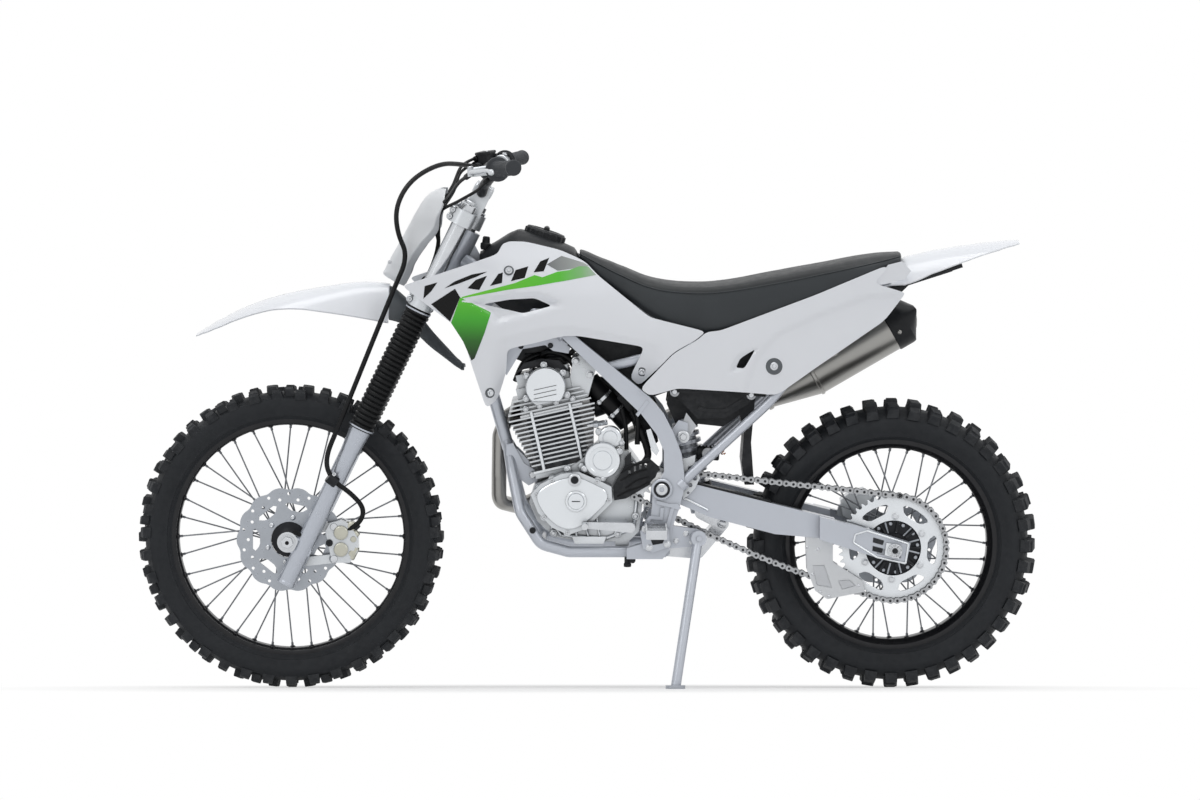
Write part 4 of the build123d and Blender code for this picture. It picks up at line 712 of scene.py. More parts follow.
# ---------------------------------------------------------------- curved bodywork
SKIN_Z = [620, 720, 820, 900, 960, 1030]
SKIN_HALF = {
    -440: [150, 152, 152, 150, 146, 130],
    -340: [158, 160, 160, 156, 148, 120],
    -220: [164, 165, 162, 152, 136, 99],
    -100: [160, 160, 154, 142, 122, 88],
    20: [148, 147, 142, 128, 104, 72],
    140: [138, 136, 130, 113, 92, 64],
    280: [130, 127, 120, 108, 92, 70],
    420: [125, 121, 115, 108, 96, 80],
    560: [120, 116, 110, 104, 98, 86],
    720: [112, 108, 103, 99, 95, 86],
}
SKIN_T = 3.5


def smooth(stations, x):
    """A row of numbers at x on smooth curves through the stations, each (x, number, ...)."""
    i = 1
    while i < len(stations) - 1 and stations[i][0] < x:
        i += 1
    a, b = stations[i - 1], stations[i]
    before, after = stations[max(i - 2, 0)], stations[min(i + 1, len(stations) - 1)]
    t = min(max((x - a[0]) / (b[0] - a[0]), 0), 1)
    row = []
    for p, q, r, s in zip(before[1:], a[1:], b[1:], after[1:]):
        row.append(q + 0.5 * t * (r - p + t * (2 * p - 5 * q + 4 * r - s + t * (3 * (q - r) + s - p))))
    return row


def half_width(x, z):
    """The bodywork's half width at a place in the side view."""
    row = smooth([(sx, *values) for sx, values in SKIN_HALF.items()], x)
    return smooth(list(zip(SKIN_Z, row)), z)[0]


def nearest(points, x, z, closed=False):
    """Distance from (x, z) to a polyline, and the side of it: positive to the left of its direction."""
    best, sign = 1e9, 1
    runs = list(zip(points, points[1:] + points[:1] if closed else points[1:]))
    for (ax, az), (bx, bz) in runs:
        dx, dz = bx - ax, bz - az
        t = min(max(((x - ax) * dx + (z - az) * dz) / (dx * dx + dz * dz), 0), 1)
        d = hypot(x - ax - t * dx, z - az - t * dz)
        if d < best - 1e-9:
            best, sign = d, 1 if dx * (z - az) - dz * (x - ax) > 0 else -1
    return best, sign


def inside(points, x, z):
    """How deep (x, z) lies inside a closed outline; negative outside."""
    crossings = 0
    for (ax, az), (bx, bz) in zip(points, points[1:] + points[:1]):
        if (az > z) != (bz > z) and x < ax + (z - az) / (bz - az) * (bx - ax):
            crossings += 1
    d, _ = nearest(points, x, z, True)
    return d if crossings % 2 else -d


def ease(t):
    t = min(max(t, 0), 1)
    return t * t * (3 - 2 * t)


SHROUD = [
    (-412, 918), (-408, 924), (-207, 989), (-196, 1011), (-180, 1017), (-144, 1016), (-68, 998), (-13, 973),
    (16, 942), (124, 855), (137, 848), (255, 818), (234, 800), (183, 772), (108, 694), (87, 714), (117, 779),
    (110, 786), (-30, 810), (-65, 809), (-124, 794), (-176, 783), (-185, 775), (-187, 732), (-193, 710),
    (-206, 670), (-231, 651), (-266, 757), (-281, 808), (-289, 826), (-381, 894),
]
VENT = [(-238, 880), (-180, 890), (-124, 893), (-86, 876), (-150, 860)]
VENT_RECESS = [(-292, 889), (-214, 904), (-124, 910), (-100, 903), (-46, 879), (-86, 868), (-150, 851),
               (-214, 832), (-222, 850), (-252, 872)]
SHROUD_RIDGE = [(-233, 640), (-295, 823), (-392, 895)]
SHROUD_CREASE = [(-232, 795), (-107, 826), (-39, 828), (46, 811), (160, 786)]
PANEL = [
    (256.5, 816.5), (289, 820), (399, 861), (499, 898), (649, 960), (660, 958), (628, 924), (698, 903),
    (693, 893), (653, 841), (499, 736), (414, 676), (325, 684), (200, 692), (187, 691), (132, 676),
    (109.5, 692.5), (184.5, 770.5), (235.5, 798.5),
]
PANEL_CREASE = [(336, 670), (343, 700), (364, 765), (414, 815), (499, 855), (614, 898), (720, 903)]
SLOT = [(322, 737), (332, 758), (366, 779), (341, 736)]
SLOT_RECESS = [(302, 722), (325, 765), (378, 790), (336, 732)]


def shroud_relief(x, z):
    """How far the shroud's skin sinks in: a scoop round the vent, a front bevel and a lower bevel."""
    deep = inside(VENT_RECESS, x, z)
    sink = 13 * ease(deep / 17) if deep > 0 else 0
    d, sign = nearest(SHROUD_RIDGE, x, z)
    if sign > 0:
        sink += 0.55 * d
    if -230 < x < 170:
        d, sign = nearest(SHROUD_CREASE, x, z)
        if sign < 0:
            sink += 0.5 * d * ease((x + 230) / 60) * ease((170 - x) / 60)
    return sink


def panel_relief(x, z):
    """The side panel's lower rear part lies a little under its upper part; a slot is sunk into it."""
    d, sign = nearest(PANEL_CREASE, x, z)
    sink = 3.2 * ease(d / 7) if sign < 0 else 0
    deep = inside(SLOT_RECESS, x, z)
    return sink + (7 * ease(deep / 8) if deep > 0 else 0)


def rounded(points, cut=0.18, limit=9.0, times=2):
    """An outline with its corners softened, by at most limit."""
    for _ in range(times):
        made = []
        for i, p in enumerate(points):
            q = points[(i + 1) % len(points)]
            length = hypot(q[0] - p[0], q[1] - p[1])
            share = min(cut, limit / max(length, 0.01))
            for t in (share, 1 - share):
                made.append((p[0] + (q[0] - p[0]) * t, p[1] + (q[1] - p[1]) * t))
        points = made
    return points


def spread(low, high, count):
    """Numbers evenly from low to high."""
    return [low + (high - low) * k / (count - 1) for k in range(count)]


def skin(rows, cols, places):
    """A closed skin: places(i, j) is the outer and the inner point at each place of a grid."""
    pairs = [places(i, j) for i in range(rows) for j in range(cols)]
    faces, at = [], rows * cols
    for i in range(rows - 1):
        for j in range(cols - 1):
            a, b, c, d = i * cols + j, i * cols + j + 1, (i + 1) * cols + j + 1, (i + 1) * cols + j
            faces += [(a, b, c, d), (at + d, at + c, at + b, at + a)]
    edge = list(range(cols)) + [i * cols + cols - 1 for i in range(1, rows)]
    edge += [(rows - 1) * cols + j for j in range(cols - 2, -1, -1)]
    edge += [i * cols for i in range(rows - 2, 0, -1)]
    for a, b in zip(edge, edge[1:] + edge[:1]):
        faces.append((b, a, at + a, at + b))
    return mesh_of([outer for outer, _ in pairs] + [inner for _, inner in pairs], faces)


def common(mesh, cutter):
    """What two meshes share."""
    a, b = linked("cut_a", mesh), linked("cut_b", cutter)
    modifier = a.modifiers.new("cut", "BOOLEAN")
    modifier.operation, modifier.object, modifier.solver = "INTERSECT", b, "EXACT"
    made = bpy.data.meshes.new_from_object(a.evaluated_get(bpy.context.evaluated_depsgraph_get()))
    for obj in (a, b):
        bpy.data.objects.remove(obj)
    return made


def skin_panel(side, outline, holes, relief, step=6.0, lift=0.0, thick=SKIN_T):
    """A piece of the bodywork's wall: the curved skin with its relief, cut to an outline in the side view."""
    spans = [(min(values) - 4, max(values) + 4) for values in zip(*outline)]
    xs, zs = [spread(low, high, int((high - low) / step) + 2) for low, high in spans]

    def places(i, j):
        y = half_width(xs[i], zs[j]) - relief(xs[i], zs[j]) + lift
        return (xs[i], side * y, zs[j]), (xs[i], side * (y - thick), zs[j])

    prism = plate_mesh([outline] + [rounded(hole, 0.15, 5) for hole in holes], -260, 260)
    return common(skin(len(xs), len(zs), places), prism)


SIDES = (("left", -1), ("right", 1))
for tag, side in SIDES:
    mesh = skin_panel(side, rounded(SHROUD), [VENT], shroud_relief)
    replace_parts(piece(f"shroud_shell_{tag}", mesh, WHITE, "chassis", 30), f"shroud_{tag}")
    mesh = skin_panel(side, rounded(PANEL), [SLOT], panel_relief)
    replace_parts(piece(f"side_panel_shell_{tag}", mesh, WHITE, "chassis", 30),
                f"side_panel_{tag}")


def channel(name, stations, steps, material, body, crown, power=2.4):
    """A fender: a curved skin with a raised middle and turned-down edges; stations are (x, z, half, drop)."""
    across, thick = 22, 3
    xs = spread(stations[0][0], stations[-1][0], steps + 1)

    def places(k, j):
        z, half, drop = smooth(stations, xs[k])
        u = -1 + 2 * j / across
        u = copysign(abs(u) ** 0.8, u)
        lift = crown * max(0.0, 1 - abs(u) / 0.55) * sin(pi * k / steps) ** 0.5
        height = z - drop * abs(u) ** power + lift
        return (xs[k], u * half, height), (xs[k], u * (half - thick), height - thick)

    return piece(name, skin(steps + 1, across + 1, places), material, body, 40)


front_fender = channel("front_fender_blade", [
    (-885, 806, 36, 3), (-870, 814, 46, 5), (-845, 828, 55, 9), (-790, 854, 64, 13), (-740, 873, 69, 16),
    (-700, 885, 72, 20), (-650, 896, 74, 30), (-600, 905, 75, 45), (-545, 914, 73, 62), (-500, 918, 70, 74),
    (-452, 917, 66, 82)], 60, WHITE, "steering", 6, 3.2)
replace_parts(front_fender, "front_fender")
# painted shade: the fender's rear part under the lower clamp takes dark grey plastic, for the shade it lies
# in
channel("front_fender_tail", [
    (-451, 912, 60, 70), (-420, 888, 55, 56), (-395, 858, 52, 44), (-360, 812, 52, 30), (-330, 778, 50, 20),
    (-292, 741, 48, 10), (-284, 736, 46, 8)], 30, GREY_PLASTIC, "steering", 3)
rear_fender = channel("rear_fender_blade", [
    (596, 913, 74, 10), (620, 922, 78, 14), (660, 944, 82, 26), (690, 965, 84, 44), (704, 975, 85, 52),
    (760, 988, 82, 42), (840, 1001, 71, 27), (910, 1010, 59, 14), (945, 1014, 48, 8), (958, 1015, 42, 5)],
    60, WHITE, "chassis", 3, 3.0)
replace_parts(rear_fender, "rear_fender")


def number_plate():
    """The front plate: a shallow shield whose sides sweep back beside the fork, and the flange behind it."""
    front = [(918, -437, -434), (938, -466, -424), (950, -462, -418), (970, -452, -410), (1010, -430, -384),
             (1042, -412, -357), (1070, -397, -346), (1096, -382, -332), (1112, -370, -330),
             (1124, -356, -329), (1132, -338, -328)]
    wide = [(918, 48), (950, 53), (1000, 70), (1050, 87), (1085, 94), (1105, 91), (1122, 76), (1132, 52)]
    zs, across = spread(918, 1132, 45), 30

    def places(i, j):
        (ahead, back), (half,) = smooth(front, zs[i]), smooth(wide, zs[i])
        u = -1 + 2 * j / across
        x = ahead + (back - ahead) * abs(u) ** 2.2 + 2.5 * ease((abs(u) - 0.62) / 0.06)
        return (x, u * half, zs[i]), (x + 3, u * (half - 1.5), zs[i] - 0.5)

    mesh = skin(len(zs), across + 1, places)
    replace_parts(piece("number_plate_shield", mesh, WHITE_SATIN, "steering", 35),
                "number_plate")
    flange = Lump()
    for side in (-1, 1):
        rows = []
        for z in spread(920, 1100, 25):
            back, half = smooth(front, z)[1] + 4, smooth(wide, z)[0] - 1.5
            turn = 12 * ease((1100 - z) / 60)
            rows.append([Vector((back, side * half, z)),
                         Vector((back + turn, side * (half - turn), z - turn * 0.5)),
                         Vector((back + turn - 2, side * (half - turn - 1.6), z - turn * 0.5)),
                         Vector((back - 2, side * (half - 1.6), z))])
        flange.grid(rows, close_cols=True, caps=True)
        flange.bolt((-449, side * 51, 968), (-0.4, side, 0.1), 3.4, 2)
    # painted shade: the flange takes a greyer plastic than the shield, for the shade along the plate's rear
    # edge
    piece("number_plate_flange", flange.mesh(), LIGHT_GREY, "steering", 35)


number_plate()

TANK = [  # x and the right half's corners, from the bottom up
    (-248, [(50, 915), (60, 940), (56, 965), (38, 984), (0, 990)]),
    (-225, [(74, 885), (94, 930), (82, 975), (48, 1001), (0, 1006)]),
    (-170, [(84, 850), (112, 910), (96, 1000), (52, 1031), (0, 1036)]),
    (-146, [(88, 840), (114, 900), (96, 1000), (52, 1032), (0, 1036)]),
    (-90, [(88, 836), (110, 895), (90, 988), (50, 1016), (0, 1021)]),
    (-36, [(86, 832), (105, 890), (82, 970), (46, 992), (0, 998)]),
    (-26, [(86, 832), (104, 888), (80, 944), (46, 968), (0, 974)]),
    (60, [(78, 836), (86, 860), (70, 888), (40, 894), (0, 897)]),
]
SEAT = [  # as the tank's; the third corner is the seam between side and top
    (-22, [(36, 968), (41, 976), (40, 984), (26, 991), (0, 994)]),
    (20, [(50, 930), (56, 938), (50, 962), (33, 974), (0, 977)]),
    (60, [(60, 900), (66, 912), (58, 942), (38, 957), (0, 961)]),
    (130, [(80, 852), (86, 866), (74, 913), (52, 929), (0, 934)]),
    (200, [(92, 812), (99, 836), (86, 902), (62, 917), (0, 923)]),
    (290, [(100, 818), (106, 832), (94, 903), (70, 919), (0, 925)]),
    (420, [(98, 858), (104, 872), (96, 924), (74, 941), (0, 948)]),
    (520, [(92, 895), (99, 908), (92, 944), (70, 960), (0, 966)]),
    (620, [(84, 933), (92, 947), (84, 965), (60, 979), (0, 984)]),
    (690, [(58, 962), (67, 970), (60, 981), (40, 987), (0, 989)]),
]


def lofted(name, sections, steps, across, material, round_end):
    """A closed form through mirrored cross-sections, smooth along its length, with rounded ends."""
    rows = []
    flat = [(x, *[v for corner in half for v in corner]) for x, half in sections]
    for x in spread(sections[0][0], sections[-1][0], steps + 1):
        values = smooth(flat, x)
        curve = hermite([(x, y, z) for y, z in zip(values[::2], values[1::2])], across)
        rows.append(curve + [Vector((p.x, -p.y, p.z)) for p in reversed(curve[:-1])])
    ends = []
    for row, away in ((rows[0], -round_end), (rows[-1], round_end)):
        middle = sum(row, Vector()) / len(row)
        ends.append([middle + (p - middle) * 0.86 + Vector((away, 0, 0)) for p in row])
    lump = Lump()
    lump.grid([ends[0], *rows, ends[1]], close_cols=True, caps=True)
    return piece(name, lump.mesh(), material, "chassis", 50)


tank = lofted("tank_cover", TANK, 60, 4, BLACK_PLASTIC, 1.0)
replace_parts(tank, "fuel_tank")
seat = lofted("seat_cover", SEAT, 90, 5, VINYL_SIDE, 3.0)
WELT = [(x, *half[2]) for x, half in SEAT]  # x, half width and height of the seam between side and top
seat.data.materials.append(VINYL)
for face in seat.data.polygons:
    if face.center.z / MM > smooth(WELT, min(max(face.center.x / MM, WELT[0][0]), WELT[-1][0]))[1] - 1:
        face.material_index = 1
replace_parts(seat, "seat")


def seat_welts():
    """The piped seam between the seat's side and its top."""
    welts = Lump()
    for side in (-1, 1):
        line = [Vector((x, side * wide, z)) for x, wide, z in WELT]
        sweep(welts, [p + Vector((0, side * 0.2, 0.4)) for p in hermite(line, 10)], 1.5, 8)
    piece("seat_welts", welts.mesh(), VINYL_SIDE, "chassis", 60)


seat_welts()

dress(FRAME_PAINT, "frame_spar_left", "frame_spar_right", "frame_head", "frame_cradle", "subframe",
      "swingarm")
dress(ALLOY_SATIN, "fork_sliders")
dress(STEEL, "fork_tubes", "front_axle", "rear_axle")
dress(ALLOY, "upper_clamp", "lower_clamp", "engine_case", "engine_cylinder", "engine_head", "stator_cover")
dress(BLACK_PLASTIC, "airbox", "sprocket_guard", "carburettor", "fuel_cap", "handlebar")
dress(RUBBER_SOFT, "grips", "fork_boots")
dress(EXHAUST, "exhaust_pipe", "muffler")
dress(CHAIN_STEEL, "chain", "front_sprocket")
dress(ALLOY_POLISHED, "rear_sprocket", "clutch_cover")
dress(ALLOY, "front_caliper", "rear_caliper")
dress(WHITE_SATIN, "chain_guide")
dress(STEEL, "footpegs", "shift_lever", "brake_pedal", "shock_linkage", "clutch_lever", "brake_lever")
dress(FRAME_PAINT, "side_stand", "rear_shock")


# ---------------------------------------------------------------- brake hose
HOSE = [
    (-262, 236, 1171), (-300, 150, 1182), (-345, 60, 1184), (-404, -20, 1150), (-434, -68, 1094),
    (-430, -92, 1036), (-406, -79, 982), (-440, -90, 906), (-560, -104, 610), (-594, -112, 530),
    (-574, -133, 486), (-536, -126, 460), (-503, -108, 420), (-520, -92, 380), (-550, -80, 368),
]


def hose(name, route, r, material, body):
    """A round tube along a route given in millimetres in the upright frame."""
    curve = bpy.data.curves.new(name, "CURVE")
    curve.dimensions = "3D"
    curve.bevel_depth = r * MM
    curve.bevel_resolution = 5
    curve.use_fill_caps = True
    spline = curve.splines.new("NURBS")
    spline.points.add(len(route) - 1)
    for point, p in zip(spline.points, route):
        point.co = (*(PARK @ (Vector(p) * MM)), 1)
    spline.order_u = 3
    spline.use_endpoint_u = True
    spline.resolution_u = 12
    obj = linked(name, curve)
    curve.materials.append(material)
    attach(obj, body)
    return obj


brake_hose = hose("brake_hose_line", HOSE, 5.5, RUBBER_SOFT, "steering")
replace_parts(brake_hose, "brake_hose")


# ---------------------------------------------------------------- prints and fasteners on the bodywork
def film(name, outline, material, step=4.0):
    """A thin print that follows the shroud on both sides."""
    for tag, side in SIDES:
        mesh = skin_panel(side, outline, [], shroud_relief, step, 0.4, 0.7)
        piece(f"{name}_{tag}", mesh, material, "chassis", 30)


film("print_green_low", [(-288, 896), (-239, 872), (-220, 862), (-234, 818), (-256, 762), (-263, 757),
                         (-282, 800), (-308, 840)], PRINT_GREEN)
film("print_green_band", [(-284, 897), (-167, 927), (-124, 944), (-107, 939), (-73, 951), (-48, 954),
                          (-18, 965), (-5, 961), (12, 943), (-56, 931), (-124, 920), (-184, 912),
                          (-284, 894)], PRINT_BAND)
film("print_grey_rear", [(-97, 967), (-65, 985), (-16, 970), (-5, 963), (-48, 956), (-73, 953), (-86, 960)],
     PRINT_GREY)
film("print_black_front", [(-352, 881), (-299, 915), (-288, 896), (-310, 843)], PRINT_BLACK)
for k, shard in enumerate((
        [(-366, 921), (-338, 929), (-352, 909), (-369, 893)],
        [(-322, 916), (-300, 931), (-262, 946), (-228, 952), (-252, 941), (-292, 926)],
        [(-272, 916), (-254, 934), (-229, 943), (-246, 912)],
        [(-222, 921), (-204, 947), (-194, 950), (-196, 927)],
        [(-176, 931), (-166, 955), (-138, 963), (-146, 938)],
        [(-126, 950), (-112, 973), (-92, 981), (-104, 952)])):
    film(f"print_black_shard_{k}", shard, PRINT_BLACK, 3.0)


def on_skin(side, x, z, relief):
    """The point of the bodywork's surface at (x, z) and the way it faces."""
    def at(px, pz):
        return Vector((px, side * (half_width(px, pz) - relief(px, pz)), pz))
    middle = at(x, z)
    normal = (at(x + 3, z) - at(x - 3, z)).cross(at(x, z + 3) - at(x, z - 3)).normalized()
    return middle, normal if normal.y * side > 0 else -normal


def panel_bolts():
    """Three screws with their seats on each shroud and one on each side panel, which has a wide ring too."""
    seats, screws = Lump(), Lump()
    for side in (-1, 1):
        for x, z, relief, r in ((-181, 954, shroud_relief, 7), (-222, 685, shroud_relief, 7),
                                (114, 727, shroud_relief, 7), (407, 740, panel_relief, 8)):
            at, out = on_skin(side, x, z, relief)
            seats.turned([(-2, r + 4.5), (0.9, r + 4.2), (1.1, r + 1.5)], at, out, 28)
            screws.turned([(-2, r + 0.8), (1.8, r + 0.8), (2.6, r)], at, out, 28)
            screws.turned([(0, r * 0.62), (5.2, r * 0.62), (6.2, r * 0.5)], at, out, 6)
        seats.turned([(-2, 19), (0.6, 18.6), (1.0, 17), (0.8, 15.5)], at, out, 36)
    pieces("chassis", ("panel_bolt_seats", seats, GREY_PLASTIC, "black_plastic", 30),
           ("panel_bolts", screws, STEEL, "bare_steel", 30))


panel_bolts()

# ---------------------------------------------------------------- chain and sprockets
CHAIN_Y, CHAIN_PITCH, CHAIN_SAG = -82.0, 15.875, 17.0
COUNTERSHAFT = Vector((105, 0, 478))
FRONT_TEETH, REAR_TEETH = 13, 47


def pitch_radius(teeth):
    return CHAIN_PITCH / 2 / sin(pi / teeth)


def chain_route():
    """The (x, z) of the chain's pins in order: back along the top, round the wheel and forward below."""
    a, b = COUNTERSHAFT, REAR_AXLE
    r_front, r_rear = pitch_radius(FRONT_TEETH), pitch_radius(REAR_TEETH)
    heading = atan2(b.z - a.z, b.x - a.x)
    wrap = acos((r_front - r_rear) / hypot(b.x - a.x, b.z - a.z))
    behind = [polar(b, r_rear, t) for t in spread(heading + wrap, heading - wrap, 61)]
    ahead = [polar(a, r_front, t) for t in spread(heading - wrap, heading + wrap - 2 * pi, 61)]
    (x1, z1), (x2, z2) = behind[-1], ahead[0]
    below = [(x1 + (x2 - x1) * u, z1 + (z2 - z1) * u - 4 * CHAIN_SAG * u * (1 - u))
             for u in spread(0, 1, 61)[1:-1]]
    line = behind + below + ahead + behind[:1]
    lengths = [dist(p, q) for p, q in zip(line, line[1:])]
    count = round(sum(lengths) / CHAIN_PITCH)
    pitch = sum(lengths) / count
    pins, along = [], 0.0
    for (p, q), length in zip(zip(line, line[1:]), lengths):
        while len(pins) < count and len(pins) * pitch <= along + length:
            u = (len(pins) * pitch - along) / length
            pins.append((p[0] + (q[0] - p[0]) * u, p[1] + (q[1] - p[1]) * u))
        along += length
    return pins, heading + wrap


def chain(pins):
    """Roller chain: inner and outer plates in turn, with rollers, and the riveted pins apart."""
    links, rivets = Lump(), Lump()
    arc = [radians(72 - 24 * i) for i in range(7)]
    for k, (a, b) in enumerate(zip(pins, pins[1:] + pins[:1])):
        ax, bx = Vector((a[0], 0, a[1])), Vector((b[0], 0, b[1]))
        run = (bx - ax).normalized()
        up = Vector((-run.z, 0, run.x))
        r, y = (7.3, 7.6) if k % 2 else (6.9, 5.2)
        half = (ax + bx) / 2
        order = [half + up * 4.2] + [ax - run * r * cos(t) + up * r * sin(t) for t in arc]
        order += [half - up * 4.2] + [bx + run * r * cos(t) - up * r * sin(t) for t in arc]
        for side in (-1, 1):
            faces = [RIGHT * (CHAIN_Y + side * (y + thick)) for thick in (0, 2.0)]
            links.grid([[p + face for p in order] for face in faces], close_cols=True, caps=True)
        at = ax + RIGHT * CHAIN_Y
        links.turned([(-5.2, 5.0), (5.2, 5.0)], at, RIGHT, 12)
        rivets.turned([(-11.0, 1.8), (-10.2, 3.0), (10.2, 3.0), (11.0, 1.8)], at, RIGHT, 8)
    return links, rivets


def toothed_edge(centre, teeth, start):
    """The outline of a sprocket's teeth."""
    edge = []
    for k in range(teeth):
        for share, rise in ((-0.20, -4.6), (0.0, -5.3), (0.20, -4.6), (0.33, -0.5), (0.43, 3.2), (0.5, 3.8),
                            (0.57, 3.2), (0.67, -0.5)):
            edge.append(polar(centre, pitch_radius(teeth) + rise, start - 2 * pi * (k + share) / teeth))
    return edge


def windows(centre, inner, outer, count, span, first):
    """The openings of a sprocket, with rounded corners."""
    made = []
    for middle in turns(count, first):
        ring = [(outer, -0.86), (outer, -0.5), (outer, 0), (outer, 0.5), (outer, 0.86), (outer - 4, 1),
                (inner + 6, 0.86), (inner, 0.6), (inner, -0.6), (inner + 6, -0.86), (outer - 4, -1)]
        made.append([polar(centre, r, middle + span / 2 * share) for r, share in ring])
    return made


def sprockets(start):
    """Both sprockets and the rear one's bolts; start is the angle of a tooth gap that a pin lies in."""
    loops = [toothed_edge(REAR_AXLE, REAR_TEETH, start), circle(REAR_AXLE.x, REAR_AXLE.z, 62, 64)]
    loops[1:1] = windows(REAR_AXLE, 78, 99, 6, radians(40), radians(57))
    rear = piece("rear_sprocket_teeth", plate_mesh(loops, -84.5, -79.5, 0.5), ALLOY_POLISHED, "rear_wheel",
                 30)
    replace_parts(rear, "rear_sprocket")
    loops = [toothed_edge(COUNTERSHAFT, FRONT_TEETH, 0), circle(COUNTERSHAFT.x, COUNTERSHAFT.z, 9, 24)]
    front = piece("front_sprocket_teeth", plate_mesh(loops, -85, -79, 0.5), STEEL, "chassis",
                  30)
    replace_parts(front, "front_sprocket")
    fixings = Lump()
    for t in turns(6, radians(27)):
        fixings.bolt(from_rear(0, -84.5, 0) + radial(t) * 71, LEFT, 6, 5)
    piece("rear_sprocket_bolts", fixings.mesh(), STEEL, "rear_wheel", 35)


pins, chain_start = chain_route()
links, rivets = chain(pins)
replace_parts(piece("chain_links", links.mesh(), CHAIN_STEEL, "chassis", 40), "chain")
piece("chain_pins", rivets.mesh(), DARK_METAL, "chassis", 40)
sprockets(chain_start)

# ---------------------------------------------------------------- engine
ENGINE_LEAN = radians(12.7)
ENGINE_FOOT = (-62, 495)


def up_cylinder(s, across, y=0.0):
    """A point s up the cylinder's axis and across from it."""
    return Vector((ENGINE_FOOT[0] - sin(ENGINE_LEAN) * s + cos(ENGINE_LEAN) * across, y,
                   ENGINE_FOOT[1] + cos(ENGINE_LEAN) * s + sin(ENGINE_LEAN) * across))


def block(lump, s_low, s_high, front, back, half):
    """A slab square to the cylinder's axis."""
    corners = [up_cylinder(s, a) for s, a in ((s_low, front), (s_high, front), (s_high, back), (s_low, back))]
    lump.slab([(p.x, p.z) for p in corners], -half, half)


CAM = up_cylinder(199, 5)


def left_covers(bright, dark, plated):
    """Cam cover, two round covers and the stator cover, with their screws."""
    outline = [(44 * cos(t), max(44 * sin(t), -31)) for t in turns(64)]
    bright.grid([[Vector((CAM.x + x * share, y, CAM.z + z * share)) for x, z in outline]
                 for share, y in ((1.0, -70), (1.0, -84.2), (0.97, -86.4), (0.72, -87.2))],
                close_cols=True, caps=True)
    # painted shade: thin dark rods for the grooves across the cam cover
    for dz in (-26, -16, -6):
        groove = CAM + Vector((-26, -87.3, dz))
        dark.rod(groove, groove + Vector((50, 0, 11)), 0.7, 6)
    for turn, r in ((150, 50), (95, 50), (40, 50), (-20, 51), (-150, 51)):
        at = CAM + radial(radians(turn)) * r + LEFT * 64
        bright.boss(at, LEFT, 8, 0, 14)
        plated.bolt(at + LEFT * 15, LEFT, 5, 5)
    for at, profile in (
            ((26, -98, 528), [(-8, 40), (0, 40), (2, 38.5), (2.6, 31), (1.6, 29.5), (1.6, 22), (3.4, 20.5),
                              (4.2, 10), (4.2, 0.1)]),
            ((43, -86, 577), [(-8, 25), (2, 25), (3.2, 23.5), (3.4, 17), (2.2, 15.5), (2.2, 0.1)])):
        bright.turned(profile, at, LEFT, 48)
    for x, y, z in ((26, -96, 486), (-14, -96, 508), (64, -96, 548), (68, -84, 566), (18, -84, 590)):
        bright.boss((x, y, z), LEFT, 8, -20, 1)
        plated.bolt((x, y - 2, z), LEFT, 5, 5)
    ring_cap, filler = Vector((-33, -117, 438)), Vector((-36, -117, 486))
    dark.ring(ring_cap, LEFT, 18.6, 21, 0, 0.6, 48)
    bright.turned([(-3, 23), (0, 23), (0.8, 21.5), (0.8, 19), (0.2, 18), (1.6, 17), (1.6, 0.1)], ring_cap,
                  LEFT, 48)
    # painted shade: a dark bar for the slot across the round cap
    dark.rod(ring_cap + Vector((-9, -1.7, 0)), ring_cap + Vector((9, -1.7, 0)), 1.1, 6)
    plated.turned([(-6, 14), (2, 14), (3, 12.5), (3, 0.1)], filler - LEFT * 3, LEFT, 24)
    dark.turned([(0, 9), (2.5, 8.6), (3, 7)], filler, LEFT, 18)
    for x, z in ((-122, 452), (-86, 484), (14, 482), (40, 440), (2, 386), (-52, 368), (-104, 402)):
        plated.bolt((x, -106, z), LEFT, 4.6, 5.5, "cap")


def case_and_studs(bright, plated):
    """The case's joint flange, ribs and bolts, and the cylinder's studs, bosses and lower joint."""
    flange = [(-120, 470), (-104, 404), (-66, 356), (34, 350), (96, 372), (106, 470)]
    for a, b in zip(flange, flange[1:]):
        bright.rod((a[0], -74, a[1]), (b[0], -74, b[1]), 4.2, 10, 1)
    bright.slab([(-42, 354), (35, 354), (28, 338), (-36, 338)], -80, -66)
    bright.slab([(124, 592), (134, 596), (143, 570), (153, 546), (147, 535), (136, 546)], -66, -62)
    for k in range(5):
        bright.rod((-92 + 26 * k, -72, 398 - 11 * (k % 2)), (-84 + 26 * k, -76, 356), 2.4, 8)
    for x, z in ((-112, 420), (-84, 362), (60, 360), (100, 400), (88, 380), (96, 516), (-20, 512),
                 (-52, 506)):
        bright.boss((x, -74, z), LEFT, 8.5, -12, 4)
        plated.bolt((x, -79, z), LEFT, 4.6, 5)
    for across in (-40, 48):
        bright.rod(up_cylinder(14, across, -58), up_cylinder(150, across, -60), 4.5, 12)
    block(bright, 138, 146, -66, 76, 60)
    block(bright, 12, 17, -64, 76, 62)
    for across in (-50, -18, 20, 58):
        bright.boss(up_cylinder(160, across, -60), LEFT, 7, -8, 5, 14)
        plated.bolt(up_cylinder(160, across, -66), LEFT, 4.6, 5)
    up = (up_cylinder(1, 0) - up_cylinder(0, 0)).normalized()
    for across, s in ((-52, 222), (-18, 233), (26, 233), (58, 222)):
        for y in (-30, 30):
            plated.bolt(up_cylinder(s, across, y) + up * 4, up, 6, 7)


